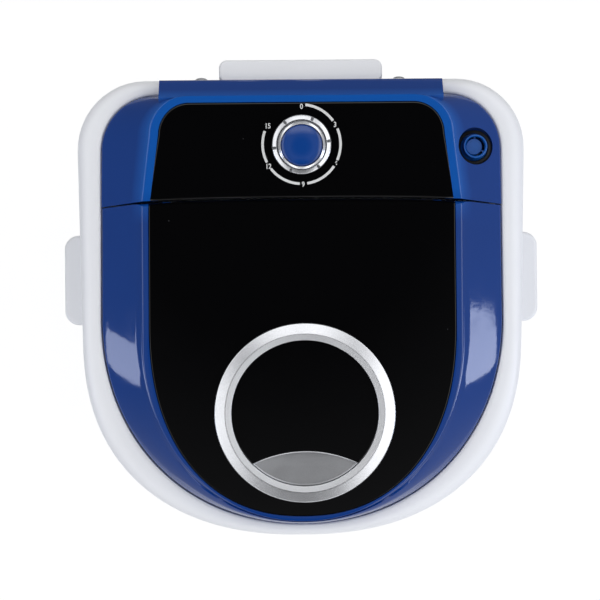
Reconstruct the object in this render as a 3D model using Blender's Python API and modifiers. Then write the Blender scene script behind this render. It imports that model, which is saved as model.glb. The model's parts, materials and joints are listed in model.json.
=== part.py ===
# Small top-loading washing machine with a D-shaped body, a hinged lid and a clockwork timer.
# Metres, +Z up, +X to the right, the back towards +Y, standing on its feet at Z = 0.

import math

import bmesh
import bpy
from mathutils import Matrix, Vector

# Clearances and cutter lengths
seat_gap = 0.0003
run_gap = 0.0003
overrun = 0.010
weld_distance = 0.00001

# Blue outline that the lid and the console share, in plan: half width, round front and back.
# A round front is a superellipse that starts a little in front of the plan's origin.
blue_half = 0.1540
blue_start = 0.0154
blue_power = 2.07
front_bulge = 0.0045
rear_bulge = 0.0007
blue_corner = 0.043
console_depth = 0.0777
split_sweep = 0.0045
split_gap = 0.0015

# White casing outside it, with the width of the white band at the side, front and back
side_band = 0.0166
front_band = 0.0110
rear_band = 0.0133
casing_start = 0.031
casing_power = 2.2
casing_corner = 0.0385
casing_wall = 0.0025
foot_taper = 0.006
taper_height = 0.060

# The deck slopes down to the front, through the rim height at the middle
rim_height = 0.462
deck_slope = math.radians(8.5)
shoulder_drop = 0.024
shoulder_round = 0.010

# The lip inside the shoulder, which the lid and the console drop into
lid_gap = 0.0015
lip_depth = 0.010
ledge_width = 0.0055

# The shoulder's curve: how far each ring lies from the outside to the lip, and below the top
shoulder_in_shares = (0.14, 0.38, 0.66, 0.92)
shoulder_drop_shares = (0.42, 0.10, 0.00, 0.06)
lip_top_share = 0.21

# Raised part of the lid and the console
panel_height = 0.024
panel_thickness = 0.0023
crease_drop = 0.0010
skirt_height = 0.0015
skirt_below = 0.0040
lid_wall = 0.0025
side_slope = 0.0320
front_slope = 0.0059
crease_start = 0.034
side_flat = 0.0057
front_flat = 0.0041
panel_start = 0.044
panel_power = 2.05
panel_ledge = 0.0063
ledge_thickness = 0.0024

# Console
crest_setback = 0.0004
crest_narrowing = 0.0055
crest_corner = 0.028
control_setback = 0.0077
control_narrowing = 0.0075
corner_tightening = 0.005
rear_skirt_inset = 0.047
rear_skirt_setback = 0.0050
rear_skirt_height = 0.0012

# Lid ring and finger scoop
ring_outer = 0.0690
ring_margin = 0.0091
outer_bevel = 0.0083
inner_bevel = 0.0045
ring_height = 0.0034
ring_edge = 0.0010
scoop_apex = 0.0289
scoop_arc = 0.0915
scoop_depth = 0.0125
scoop_wall = 0.0016
scoop_draft = 0.0040

# Lid hinge
hinge_setback = 0.0120
hinge_inset = 0.027
post_width = 0.006
eye_radius = 0.0035
post_share = 0.75
pin_radius = 0.0020
knuckle_width = 0.006
slot_side = 0.0006
ledge_strip = 0.0050

# Top deck
deck_thickness = 0.0025
mouth_inset = 0.009
collar_gap = 0.0010
collar_wall = 0.0025
collar_height = 0.012
collar_skirt = 0.009

# Wash tub
tub_y = 0.012
tub_inset = 0.0085
tub_wall = 0.0025
tub_floor = 0.003
tub_corner = 0.012
tub_corner_share = 0.29
tub_flange_width = 0.003

# Drive
drive_hole = 0.017
shaft_radius = 0.005
shaft_body_radius = 0.007
shaft_tail = 0.005
pulsator_inset = 0.0595
pulsator_lift = 0.0040
pulsator_edge = 0.005
pulsator_hub = 0.020
pulsator_hub_height = 0.020
pulsator_rib_height = 0.014
pulsator_rib_width = 0.012
pulsator_ribs = 4
pulsator_dish_share = 0.22
hub_bore_share = 0.6
rib_root_share = 0.7
rib_top_share = 0.33
bearing_outer = 0.013
bearing_height = 0.010
housing_radius = 0.021
housing_flange = 0.030
housing_flange_height = 0.006
seal_flange = 0.021
seal_height = 0.0025
plate_gap = 0.015
plate_thickness = 0.003
plate_radius = 0.052
boss_radius = 0.007
bolt_head = 0.0055
bolt_head_height = 0.004
bolt_radius = 0.0025
bolt_length = 0.012
boss_near_share = -0.30
boss_far_share = 0.46
boss_narrow_share = 0.82

# Belt drive
motor_distance = 0.112
motor_angle = math.radians(130)
pulley_height = 0.050
belt_side_gap = 0.0005
groove_slant = 0.0010
pulley_radius = 0.067
groove_radius = 0.060
flange_width = 0.003
motor_pulley_radius = 0.0215
motor_groove_radius = 0.015
belt_thickness = 0.004
belt_height = 0.007
nut_radius = 0.009
nut_height = 0.005

# Motor and capacitor
motor_radius = 0.044
motor_height = 0.052
motor_headroom = 0.0137
motor_round = 0.006
motor_boss = 0.013
motor_shaft_radius = 0.004
capacitor_radius = 0.0160
capacitor_height = 0.052
capacitor_gap = 0.012
clamp_wall = 0.002
clamp_height = 0.014

# Base
base_height = 0.012
base_thickness = 0.0027
base_lip = 0.015
foot_radius = 0.014
foot_peg = 0.0047
foot_sole_share = 0.92
foot_side_inset = 0.0656
foot_front_inset = 0.0749
foot_rear_inset = 0.048

# Timer and knob
knob_setback = 0.0396
skirt_radius = 0.0220
skirt_thickness = 0.0044
skirt_notches = 6
notch_radius = 0.0042
notch_reach = 0.0235
knob_ring_radius = 0.0175
knob_ring_wall = 0.0019
knob_height = 0.0150
knob_lift = 0.0008
timer_width = 0.046
timer_depth = 0.040
timer_height = 0.019
timer_neck = 0.0052
timer_shaft_radius = 0.0030
timer_shaft_reach = 0.0090
timer_bore_share = 0.7
timer_shaft_share = 0.6
skirt_edge_share = 0.6

# Water inlet
inlet_side_inset = 0.0230
inlet_rear_inset = 0.0394
well_radius = 0.0126
well_wall = 0.0020
well_floor = 0.0005
spigot_radius = 0.00865
spigot_bore = 0.0062
spigot_top = 0.0120
spigot_flange = 0.0112
spigot_flange_height = 0.0020
spigot_tail = 0.0080
duct_bend = 0.014
duct_drop = 0.026
duct_reach = 0.005

# Drain
drain_inset = 0.0375
drain_y = -0.020
drain_spigot = 0.010
drain_bore = 0.0075
drain_spigot_length = 0.014
hose_bore = 0.0108
hose_radius = 0.0135
hose_side_inset = 0.0506
hose_drop = 0.034
hose_run = 0.102
hose_end_inset = 0.0227
outlet_drop = 0.050
outlet_flange = 0.018
outlet_flange_height = 0.002
outlet_reach = 0.0130
grate_radius = 0.0165
grate_thickness = 0.002
grate_slots = 5
grate_slot_width = 0.0022
grate_slot_share = 0.8

# Rear cover
cover_half = 0.0614
cover_reach = 0.0137
cover_wall = 0.0025
cover_corner = 0.006
cover_low = 0.070
cover_lip = 0.0030
cover_top = 0.0030
ear_reach = 0.0151
ear_radius = 0.0075
ear_thickness = 0.0020
ear_low = 0.110
ear_drop = 0.010
screw_head = 0.0040
screw_head_height = 0.0030
screw_radius = 0.0016
screw_length = 0.0080
head_edge_share = 0.7
head_top_share = 0.6

# Handles and hose hook
handle_y = 0.018
handle_length = 0.071
handle_reach = 0.0166
handle_drop = 0.038
handle_height = 0.026
handle_wall = 0.0035
handle_corner = 0.006
hook_inset = 0.0585
hook_width = 0.0145
hook_reach = 0.0120
hook_drop = 0.068
hook_height = 0.028
hook_wall = 0.0025
hook_lip = 0.016

# Cord gland
gland_side_inset = 0.0606
gland_height = 0.080
gland_radius = 0.0080
gland_flange = 0.0120
gland_flange_height = 0.0040
gland_tail = 0.010
gland_bore = 0.0042

# Fineness of curves
front_steps = 24
corner_steps = 4
split_steps = 8
round_steps = 32
small_steps = 12
bend_steps = 5
sweep_fineness = 4
smooth_angle = math.radians(35)

# Plan sizes that follow from the blue outline
blue_front = blue_half + blue_start + front_bulge
blue_rear = blue_half + rear_bulge
split_y = blue_rear - console_depth
casing_half = blue_half + side_band
casing_front = blue_front + front_band
casing_rear = blue_rear + rear_band
crease_half = blue_half - side_slope
crease_front = blue_front - front_slope
panel_half = crease_half - side_flat
panel_front = crease_front - front_flat
crest_rear = blue_rear - crest_setback
crest_half_rear = crease_half - crest_narrowing
control_half_rear = crest_half_rear - control_narrowing
control_rear = crest_rear - control_setback
control_corner = crest_corner - corner_tightening
rear_skirt_half = blue_half - rear_skirt_inset
rear_skirt_reach = casing_rear - rear_skirt_setback
ring_y = panel_front - ring_margin - ring_outer
ring_crest = ring_outer - outer_bevel
ring_inner = ring_crest - inner_bevel
hinge_x = crease_half - hinge_inset
tub_radius = blue_half - tub_inset
mouth_radius = tub_radius - tub_wall - mouth_inset
pulsator_radius = tub_radius - pulsator_inset

# Places that follow from the sizes above
foot_x = casing_half - foot_side_inset
foot_front_y = foot_front_inset - casing_front
foot_rear_y = casing_rear - foot_rear_inset
knob_y = split_y + knob_setback
inlet_x = blue_half - inlet_side_inset
inlet_y = blue_rear - inlet_rear_inset
drain_x = tub_radius - drain_inset
hose_x = casing_half - hose_side_inset
gland_x = gland_side_inset - casing_half
ear_x = cover_half + ear_reach
ear_high = rim_height - ear_drop
handle_low = rim_height - handle_drop - handle_height
hook_y = casing_rear - hook_inset
hook_low = rim_height - hook_drop - hook_height
pulley_width = belt_height + 2 * (belt_side_gap + groove_slant + flange_width)
plate_height = pulley_height + pulley_width + plate_gap
plate_top = plate_height + plate_thickness
tub_floor_height = plate_top + seat_gap + motor_height + motor_headroom
outlet_height = tub_floor_height - outlet_drop
shaft_bottom = pulley_height - seat_gap - nut_height - shaft_tail
tub_axis = Vector((0, -tub_y, 0))
capacitor_x = -pulley_radius - capacitor_gap - capacitor_radius
motor_axis = tub_axis + motor_distance * Vector((math.cos(motor_angle), math.sin(motor_angle), 0))
deck_top = -lip_depth + seat_gap + deck_thickness
lid_end = split_y - split_gap / 2
console_end = split_y + split_gap / 2
pivot_y = lid_end - hinge_setback
pivot_w = panel_height - panel_thickness - seat_gap - run_gap - eye_radius
pivot_drop = pivot_w + skirt_below - hinge_setback * math.sin(deck_slope)
lid_swing = math.hypot(hinge_setback, pivot_drop / math.cos(deck_slope))
mouth_chord = pivot_y - lid_swing - collar_gap - collar_wall
panel_floor = panel_height - panel_thickness
recess_floor = panel_floor - seat_gap
ledge_low = recess_floor - ledge_thickness
lid_bottom = -skirt_below
casing_bottom = base_height + base_thickness + seat_gap
handle_outer = casing_half + seat_gap + handle_reach
cover_outer = casing_rear + cover_reach
floor_top = tub_floor_height + tub_floor


def deck_z(y, w):
    """Height of the point at y on the plane that lies w above the rim, square to the deck."""
    return rim_height + (w + y * math.sin(deck_slope)) / math.cos(deck_slope)


pivot = Vector((0, pivot_y, deck_z(pivot_y, pivot_w)))
knob_axis_point = Vector((0, knob_y, deck_z(knob_y, panel_height)))


def split_at(x):
    """Distance by which the split line sweeps forward at x."""
    return split_sweep * (abs(x) / blue_half) ** 3


def lid_end_inset(w, x):
    """How far the lid's rear edge lies before the split line, to swing clear of the console."""
    back = hinge_setback - split_at(x)
    swing = back + split_gap - 2 * run_gap
    rise = (w - pivot_w) / math.cos(deck_slope)
    slope = math.tan(deck_slope)
    if rise + slope * back < 0:
        return 0
    a = 1 + slope ** 2
    b = rise * slope
    c = rise ** 2 - swing ** 2
    reach = (-b + math.sqrt(b * b - a * c)) / a
    return max(0, back - reach)


# Scene, collections and frames

for old in list(bpy.data.objects):
    bpy.data.objects.remove(old)

part_collection = bpy.data.collections.new("washing_machine")
cutter_collection = bpy.data.collections.new("cutters")
bpy.context.scene.collection.children.link(part_collection)
bpy.context.scene.collection.children.link(cutter_collection)


def empty(name, location, parent=None, tilt=0):
    frame = bpy.data.objects.new(name, None)
    part_collection.objects.link(frame)
    frame.parent = parent
    frame.location = location
    frame.rotation_euler = (tilt, 0, 0)
    return frame


machine_frame = empty("machine_frame", (0, (casing_front - cover_outer) / 2, 0))
lid_hinge = empty("lid_hinge_axis", pivot, machine_frame)
knob_frame = empty("knob_axis", knob_axis_point, machine_frame, deck_slope)
drive_frame = empty("drive_axis", tub_axis, machine_frame)
motor_frame = empty("motor_axis", motor_axis, machine_frame)


def material(name, colour, roughness, metallic=0.0):
    made = bpy.data.materials.new(name)
    made.use_nodes = True
    shader = made.node_tree.nodes["Principled BSDF"]
    shader.inputs["Base Color"].default_value = (*colour, 1)
    shader.inputs["Roughness"].default_value = roughness
    shader.inputs["Metallic"].default_value = metallic
    made.diffuse_color = (*colour, 1)
    return made


finishes = {
    "white_plastic": ((0.70, 0.72, 0.76), 0.45, 0.0),
    "blue_plastic": ((0.015, 0.05, 0.30), 0.18, 0.0),
    "black_gloss": ((0.008, 0.008, 0.009), 0.08, 0.0),
    "silver_trim": ((0.62, 0.62, 0.63), 0.30, 0.9),
    "grey_plastic": ((0.35, 0.36, 0.38), 0.50, 0.0),
    "tub_plastic": ((0.74, 0.78, 0.84), 0.35, 0.0),
    "rubber": ((0.02, 0.02, 0.02), 0.85, 0.0),
    "steel": ((0.50, 0.50, 0.50), 0.35, 1.0),
    "zinc_plate": ((0.45, 0.46, 0.48), 0.45, 1.0),
    "motor_enamel": ((0.05, 0.05, 0.055), 0.50, 0.3),
    "cream_plastic": ((0.66, 0.63, 0.55), 0.50, 0.0),
}


# Object and mesh helpers

# Turns that lay a shape's own Z along an axis, its own X and Y along the other two in order
axis_turns = {
    "X": Matrix(((0, 0, 1, 0), (1, 0, 0, 0), (0, 1, 0, 0), (0, 0, 0, 1))),
    "Y": Matrix(((1, 0, 0, 0), (0, 0, 1, 0), (0, 1, 0, 0), (0, 0, 0, 1))),
    "Z": Matrix.Identity(4),
}


def finish_mesh(name, bm, parent, closed=True):
    """Makes a bmesh into an object, smooth where its faces meet at a low angle; closed, faces out."""
    if closed:
        bmesh.ops.remove_doubles(bm, verts=bm.verts, dist=weld_distance)
        bmesh.ops.recalc_face_normals(bm, faces=bm.faces)
    mesh = bpy.data.meshes.new(name)
    bm.to_mesh(mesh)
    bm.free()
    mesh.shade_smooth()
    mesh.set_sharp_from_angle(angle=smooth_angle)
    made = bpy.data.objects.new(name, mesh)
    part_collection.objects.link(made)
    made.parent = parent or machine_frame
    return made


def dress(piece, finish, frame=None):
    """Gives a piece its own material, and hangs it on the frame of its joint."""
    piece.data.materials.clear()
    piece.data.materials.append(material(piece.name + "_" + finish, *finishes[finish]))
    if frame:
        piece.parent = frame
        piece.location = -frame.location
    return piece


def as_tool(tool, target):
    """Hides an object that cuts or joins another, and makes it ride on it."""
    part_collection.objects.unlink(tool)
    cutter_collection.objects.link(tool)
    tool.hide_render = True
    tool.display_type = "WIRE"
    if tool.parent == target.parent:
        tool.parent = target


def boolean(target, tool, operation):
    step = target.modifiers.new(operation.lower(), "BOOLEAN")
    step.operation = operation
    step.object = tool
    as_tool(tool, target)
    return target


def cut(target, tool):
    return boolean(target, tool, "DIFFERENCE")


def join(target, tool):
    return boolean(target, tool, "UNION")


def loft(name, rings, parent=None, capped=True, looped=False):
    """Skins rings of equal point counts; capped closes both ends, looped joins last to first."""
    bm = bmesh.new()
    rows = [[bm.verts.new(point) for point in ring] for ring in rings]
    pairs = list(zip(rows, rows[1:]))
    if looped:
        pairs.append((rows[-1], rows[0]))
    for low, high in pairs:
        for i in range(len(low)):
            j = (i + 1) % len(low)
            bm.faces.new((low[i], low[j], high[j], high[i]))
    if capped and not looped:
        bm.faces.new(list(reversed(rows[0])))
        bm.faces.new(rows[-1])
    return finish_mesh(name, bm, parent, closed=capped)


def box(name, low, high, parent=None):
    bm = bmesh.new()
    bmesh.ops.create_cube(bm, size=1)
    low = Vector(low)
    high = Vector(high)
    for vert in bm.verts:
        vert.co = Vector((low[k] + (vert.co[k] + 0.5) * (high[k] - low[k]) for k in range(3)))
    return finish_mesh(name, bm, parent)


def cylinder(name, radius, low, high, place=(0, 0), parent=None, axis="Z", steps=None):
    """A cylinder between two heights along an axis; place holds its other two coordinates."""
    bm = bmesh.new()
    bmesh.ops.create_cone(bm, cap_ends=True, segments=steps or small_steps,
                          radius1=radius, radius2=radius, depth=high - low)
    middle = (low + high) / 2
    if axis == "X":
        centre = (middle, place[0], place[1])
    elif axis == "Y":
        centre = (place[0], middle, place[1])
    else:
        centre = (place[0], place[1], middle)
    bm.transform(Matrix.Translation(centre) @ axis_turns[axis])
    return finish_mesh(name, bm, parent)


def over_flats(radius, steps):
    """Corner radius of a polygon whose flats lie at the radius."""
    return radius / math.cos(math.pi / steps)


def drill(name, radius, low, high, place=(0, 0), parent=None, axis="Z", steps=None):
    """A cutter whose flats, not its corners, lie at the radius, so that a round piece fits."""
    corner_radius = over_flats(radius, steps or small_steps)
    return cylinder(name, corner_radius, low, high, place, parent, axis, steps)


def prism(name, outline, low, high, axis="Z", parent=None):
    """A flat outline pushed along an axis from low to high: a filled curve made a mesh."""
    curve = bpy.data.curves.new(name, "CURVE")
    curve.dimensions = "2D"
    curve.fill_mode = "BOTH"
    curve.extrude = (high - low) / 2
    spline = curve.splines.new("POLY")
    spline.points.add(len(outline) - 1)
    spline.use_cyclic_u = True
    for spot, (across, up) in zip(spline.points, outline):
        spot.co = (across, up, 0, 1)
    bm = mesh_of(curve)
    bm.transform(axis_turns[axis] @ Matrix.Translation((0, 0, (low + high) / 2)))
    return finish_mesh(name, bm, parent)


def mesh_of(curve):
    """The mesh that a curve makes, as a bmesh; the curve itself goes."""
    rough = bpy.data.objects.new(curve.name, curve)
    part_collection.objects.link(rough)
    bpy.context.view_layer.update()
    view = bpy.context.evaluated_depsgraph_get()
    mesh = bpy.data.meshes.new_from_object(rough.evaluated_get(view))
    bm = bmesh.new()
    bm.from_mesh(mesh)
    bm.transform(rough.matrix_world)
    bpy.data.objects.remove(rough)
    bpy.data.curves.remove(curve)
    bpy.data.meshes.remove(mesh)
    return bm


def turned(name, profile, parent=None, steps=None, place=(0, 0)):
    """A profile of (radius, height) points, from the top down its outer side, turned about Z."""
    count = steps or round_steps
    closed = profile[0][0] > 0
    bm = bmesh.new()
    points = [bm.verts.new((radius, 0, height)) for radius, height in profile]
    edges = list(zip(points, points[1:]))
    if closed:
        edges.append((points[-1], points[0]))
    for start, end in edges:
        bm.edges.new((start, end))
    mesh = bpy.data.meshes.new(name)
    bm.to_mesh(mesh)
    bm.free()
    made = bpy.data.objects.new(name, mesh)
    part_collection.objects.link(made)
    made.parent = parent or machine_frame
    made.location = (place[0], place[1], 0)
    screw = made.modifiers.new("turn", "SCREW")
    screw.steps = count
    screw.render_steps = count
    screw.use_merge_vertices = True
    screw.merge_threshold = weld_distance
    screw.use_smooth_shade = True
    return made


def ring_profile(inner, outer, low, high):
    return [(outer, high), (outer, low), (inner, low), (inner, high)]


def sweep(name, path, radius):
    """A solid round bar along a path: a bevelled curve made a mesh."""
    curve = bpy.data.curves.new(name, "CURVE")
    curve.dimensions = "3D"
    curve.bevel_depth = radius
    curve.bevel_resolution = sweep_fineness
    curve.use_fill_caps = True
    spline = curve.splines.new("POLY")
    spline.points.add(len(path) - 1)
    for spot, point in zip(spline.points, path):
        spot.co = (*point, 1)
    return finish_mesh(name, mesh_of(curve), machine_frame)


def tube(name, path, radius, bore):
    """A bored tube along a path, its bore cut by a longer bar along the same path."""
    path = [Vector(point) for point in path]
    start = path[0] + (path[0] - path[1]).normalized() * overrun
    end = path[-1] + (path[-1] - path[-2]).normalized() * overrun
    return cut(sweep(name, path, radius), sweep(name + "_bore", [start] + path + [end], bore))


def bend(corner, before, after, radius):
    """Points of a round bend at a corner, between the directions to its two neighbours."""
    corner = Vector(corner)
    to_start = (Vector(before) - corner).normalized()
    to_end = (Vector(after) - corner).normalized()
    half = to_start.angle(to_end) / 2
    leg = radius / math.tan(half)
    centre = corner + (to_start + to_end).normalized() * radius / math.sin(half)
    first = corner + to_start * leg - centre
    last = corner + to_end * leg - centre
    turn = first.angle(last)
    points = []
    for k in range(bend_steps + 1):
        share = k / bend_steps
        side = first * math.sin((1 - share) * turn) + last * math.sin(share * turn)
        points.append(centre + side / math.sin(turn))
    return points


# Outlines in plan

def front_curve(half, front, start, power):
    """The round front of a plan outline, from its left side to its right side."""
    points = []
    for k in range(front_steps + 1):
        angle = math.pi * k / front_steps
        across = -math.copysign(abs(math.cos(angle)) ** (2 / power), math.cos(angle))
        along = math.sin(angle) ** (2 / power)
        points.append((half * across, -start - (front - start) * along))
    return points


def corner_arc(x, y, radius, first, last):
    angles = [first + (last - first) * k / corner_steps for k in range(corner_steps + 1)]
    return [(x + radius * math.cos(a), y + radius * math.sin(a)) for a in angles]


def body_outline(half, front, rear, start, power, corner):
    """D outline of the body: round front, straight sides, rounded back corners."""
    right = corner_arc(half - corner, rear - corner, corner, 0, math.pi / 2)
    left = corner_arc(corner - half, rear - corner, corner, math.pi / 2, math.pi)
    return front_curve(half, front, start, power) + right + left


def casing_outline(inset):
    return body_outline(casing_half - inset, casing_front - inset, casing_rear - inset,
                        casing_start, casing_power, casing_corner - inset / 2)


def lip_outline(inset):
    grown = lid_gap - inset
    return body_outline(blue_half + grown, blue_front + grown, blue_rear + grown,
                        blue_start, blue_power, blue_corner + grown)


def lid_outline(half, front, start, power, back_off=0, w=None):
    """D outline of the lid: round front, and a back edge along the split line.

    Where w is given, the back edge lies as far forward as the lid's swing needs at w.
    """
    points = front_curve(half, front, start, power)
    for k in range(split_steps + 1):
        x = half * (1 - 2 * k / split_steps)
        inset = back_off if w is None else lid_end_inset(w, x)
        points.append((x, lid_end - split_at(x) - inset))
    return points


def console_outline(half, half_rear, rear, corner, front_off):
    """Outline of the console: front edge along the split line, rounded back corners."""
    points = []
    for k in range(split_steps + 1):
        x = half * (2 * k / split_steps - 1)
        points.append((x, console_end - split_at(x) + front_off))
    points += corner_arc(half_rear - corner, rear - corner, corner, 0, math.pi / 2)
    points += corner_arc(corner - half_rear, rear - corner, corner, math.pi / 2, math.pi)
    return points


def mix(first, second, share):
    """Outline part of the way from one outline to another."""
    return [(a[0] + (b[0] - a[0]) * share, a[1] + (b[1] - a[1]) * share)
            for a, b in zip(first, second)]


def on_deck(outline, w):
    return [(x, y, deck_z(y, w)) for x, y in outline]


def level(outline, z):
    return [(x, y, z) for x, y in outline]


def mouth_outline(grow):
    """Circle about the tub's axis, cut straight across at the back."""
    radius = mouth_radius + grow
    chord = mouth_chord + grow + tub_y
    half_angle = math.asin(chord / radius)
    sweep = math.pi + 2 * half_angle
    points = []
    for k in range(round_steps + 1):
        angle = math.pi - half_angle + sweep * k / round_steps
        points.append((radius * math.cos(angle), radius * math.sin(angle) - tub_y))
    return points


def lens_outline(inset):
    """The finger scoop: where the ring's inside meets a wide arc that bulges to the back."""
    low = ring_inner - inset
    high = scoop_arc - inset
    centre = scoop_apex + scoop_arc
    along = (centre ** 2 + low ** 2 - high ** 2) / (2 * centre)
    half_low = math.acos(along / low)
    half_high = math.acos((centre - along) / high)
    points = []
    for k in range(small_steps + 1):
        angle = -math.pi / 2 - half_low + 2 * half_low * k / small_steps
        points.append((low * math.cos(angle), low * math.sin(angle) - ring_y))
    for k in range(1, small_steps):
        angle = math.pi / 2 - half_high + 2 * half_high * k / small_steps
        points.append((high * math.cos(angle), high * math.sin(angle) - ring_y - centre))
    return points


# Outer casing: a shell with a rounded shoulder, a lip and a ledge inside it

def outer_casing():
    outer = casing_outline(0)
    lip = lip_outline(0)
    ledge = lip_outline(ledge_width)
    rings = [
        level(casing_outline(foot_taper), casing_bottom),
        level(outer, taper_height),
        on_deck(outer, -shoulder_drop),
        on_deck(outer, -shoulder_round),
    ]
    for share, drop in zip(shoulder_in_shares, shoulder_drop_shares):
        rings.append(on_deck(mix(outer, lip, share), -shoulder_round * drop))
    rings += [
        on_deck(lip, -shoulder_round * lip_top_share),
        on_deck(lip, -lip_depth),
        on_deck(ledge, -lip_depth),
    ]
    casing = loft("outer_casing", rings, capped=False)
    shell = casing.modifiers.new("wall", "SOLIDIFY")
    shell.thickness = casing_wall
    shell.offset = -1
    shell.use_even_offset = True
    rear = casing_rear - casing_wall
    for name, radius, place in (
        ("outlet_hole", hose_radius + seat_gap, (hose_x, outlet_height)),
        ("gland_hole", gland_radius + seat_gap, (gland_x, gland_height)),
    ):
        cut(casing, drill(name, radius, rear - overrun, casing_rear + overrun, place, axis="Y"))
    for k, (x, z) in enumerate(ear_places()):
        cut(casing, drill("cover_hole_%d" % k, screw_radius + seat_gap, rear - overrun,
                             casing_rear + overrun, (x, z), axis="Y"))
    return dress(casing, "white_plastic")


def ear_places():
    return [(x, z) for z in (ear_low, ear_high) for x in (-ear_x, ear_x)]


# Base pan and feet

def foot_places():
    return {
        "foot_front_left": (-foot_x, foot_front_y),
        "foot_front_right": (foot_x, foot_front_y),
        "foot_rear_left": (-foot_x, foot_rear_y),
        "foot_rear_right": (foot_x, foot_rear_y),
    }


def base_pan():
    outside = casing_outline(foot_taper)
    fit = casing_outline(foot_taper + casing_wall + 2 * seat_gap)
    inside = casing_outline(foot_taper + 2 * casing_wall + 2 * seat_gap)
    top = base_height + base_thickness
    pan = loft("base_pan", [
        level(outside, base_height),
        level(outside, top),
        level(fit, top),
        level(fit, top + base_lip),
        level(inside, top + base_lip),
        level(inside, top),
    ])
    for name, place in foot_places().items():
        cut(pan, drill(name + "_hole", foot_peg + seat_gap, base_height - overrun,
                          top + overrun, place))
    return dress(pan, "grey_plastic")


def foot(name, place):
    sole = foot_radius * foot_sole_share
    top = base_height - seat_gap
    peg_top = base_height + 2 * base_thickness
    made = turned(name, [
        (0, peg_top), (foot_peg, peg_top), (foot_peg, top), (sole, top),
        (foot_radius, base_thickness), (sole, 0), (0, 0),
    ], steps=small_steps, place=place)
    return dress(made, "rubber")


# Top deck: plate under the lid and the console, with the mouth collar and the hinge posts

def hinge_profile(radius, low):
    """Side view of a post: a round eye about the pivot, and a narrower leg straight down to low."""
    points = []
    for k in range(small_steps // 2 + 1):
        angle = math.pi * k / (small_steps // 2)
        points.append((pivot.y + radius * math.cos(angle), pivot.z + radius * math.sin(angle)))
    leg = radius * post_share
    neck = pivot.z - radius
    return points + [(pivot.y - leg, neck), (pivot.y - leg, low),
                     (pivot.y + leg, low), (pivot.y + leg, neck)]


def top_deck():
    plate = lip_outline(seat_gap)
    bottom = -lip_depth + seat_gap
    deck = loft("top_deck", [on_deck(plate, bottom), on_deck(plate, deck_top)])
    outer = mouth_outline(collar_wall)
    join(deck, loft("mouth_collar", [
        on_deck(outer, bottom - collar_skirt),
        on_deck(outer, deck_top + collar_height),
    ]))
    inner = mouth_outline(0)
    cut(deck, loft("mouth_hole", [
        on_deck(inner, bottom - collar_skirt - overrun),
        on_deck(inner, deck_top + collar_height + overrun),
    ]))
    for side in (-1, 1):
        middle = side * hinge_x
        low = deck_z(pivot.y, deck_top) - deck_thickness / 2
        join(deck, prism("post", hinge_profile(eye_radius, low),
                         middle - post_width / 2, middle + post_width / 2, "X"))
        cut(deck, drill("eye", pin_radius + run_gap, middle - post_width, middle + post_width,
                           (pivot.y, pivot.z), axis="X"))
    cut(deck, drill("spigot_hole", spigot_radius + seat_gap,
                       deck_z(inlet_y, bottom) - overrun, deck_z(inlet_y, deck_top) + overrun,
                       (inlet_x, inlet_y)))
    return dress(deck, "white_plastic")


# Wash tub, hung under the deck

def boss_places():
    """Bosses under the tub, along and across the line from the tub's axis to the motor's."""
    along = (motor_axis - tub_axis).normalized()
    across = Vector((-along.y, along.x, 0))
    wide = plate_radius - boss_radius - 2 * bolt_radius
    places = []
    for share, reach in ((boss_near_share, wide * boss_narrow_share), (boss_far_share, wide)):
        for side in (-1, 1):
            places.append(tub_axis + along * motor_distance * share + across * side * reach)
    return places


def tub_circle(radius):
    points = []
    for k in range(round_steps):
        angle = 2 * math.pi * k / round_steps
        points.append((radius * math.cos(angle), radius * math.sin(angle) - tub_y))
    return points


def wash_tub():
    flange_top = -lip_depth
    flange_low = flange_top - tub_wall
    outer = tub_circle(tub_radius)
    inner = tub_circle(tub_radius - tub_wall)
    flange = tub_circle(tub_radius + tub_flange_width)
    round_in = tub_corner * tub_corner_share
    tub = loft("wash_tub", [
        level(tub_circle(tub_radius - tub_corner), tub_floor_height),
        level(tub_circle(tub_radius - round_in), tub_floor_height + round_in),
        level(outer, tub_floor_height + tub_corner),
        on_deck(outer, flange_low),
        on_deck(flange, flange_low),
        on_deck(flange, flange_top),
        on_deck(inner, flange_top),
        level(inner, floor_top + tub_corner),
        level(tub_circle(tub_radius - tub_wall - round_in), floor_top + round_in),
        level(tub_circle(tub_radius - tub_wall - tub_corner), floor_top),
    ])
    weld = tub_floor / 2
    for place in boss_places():
        join(tub, cylinder("boss", boss_radius, plate_top + seat_gap, tub_floor_height + weld,
                           place.to_2d()))
    for place in boss_places():
        low = plate_top
        cut(tub, drill("boss_hole", bolt_radius + seat_gap, low - overrun,
                          low + bolt_length + seat_gap, place.to_2d(), steps=8))
    drain = (drain_x, drain_y)
    join(tub, cylinder("drain_spigot", drain_spigot, tub_floor_height - drain_spigot_length,
                       tub_floor_height + weld, drain))
    cut(tub, drill("drain_bore", drain_bore, tub_floor_height - drain_spigot_length - overrun,
                      floor_top + overrun, drain))
    cut(tub, drill("drive_hole", drive_hole, tub_floor_height - overrun,
                      floor_top + overrun, (0, -tub_y), steps=round_steps // 2))
    start, end = duct_ends()
    direction = (end - start).normalized()
    hole = drill("duct_hole", spigot_radius + seat_gap, -overrun, overrun)
    hole.location = end - direction * duct_reach
    hole.rotation_euler = direction.to_track_quat("Z", "Y").to_euler()
    cut(tub, hole)
    return dress(tub, "tub_plastic")


def duct_ends():
    """Last straight run of the inlet duct: from under the inlet to just inside the tub."""
    height = deck_z(inlet_y, -lip_depth) - duct_drop
    start = Vector((inlet_x, inlet_y, height))
    centre = Vector((0, -tub_y, height))
    direction = (centre - start).normalized()
    reach = (centre - start).length - tub_radius + tub_wall / 2 + duct_reach
    return start, start + direction * reach


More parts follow.
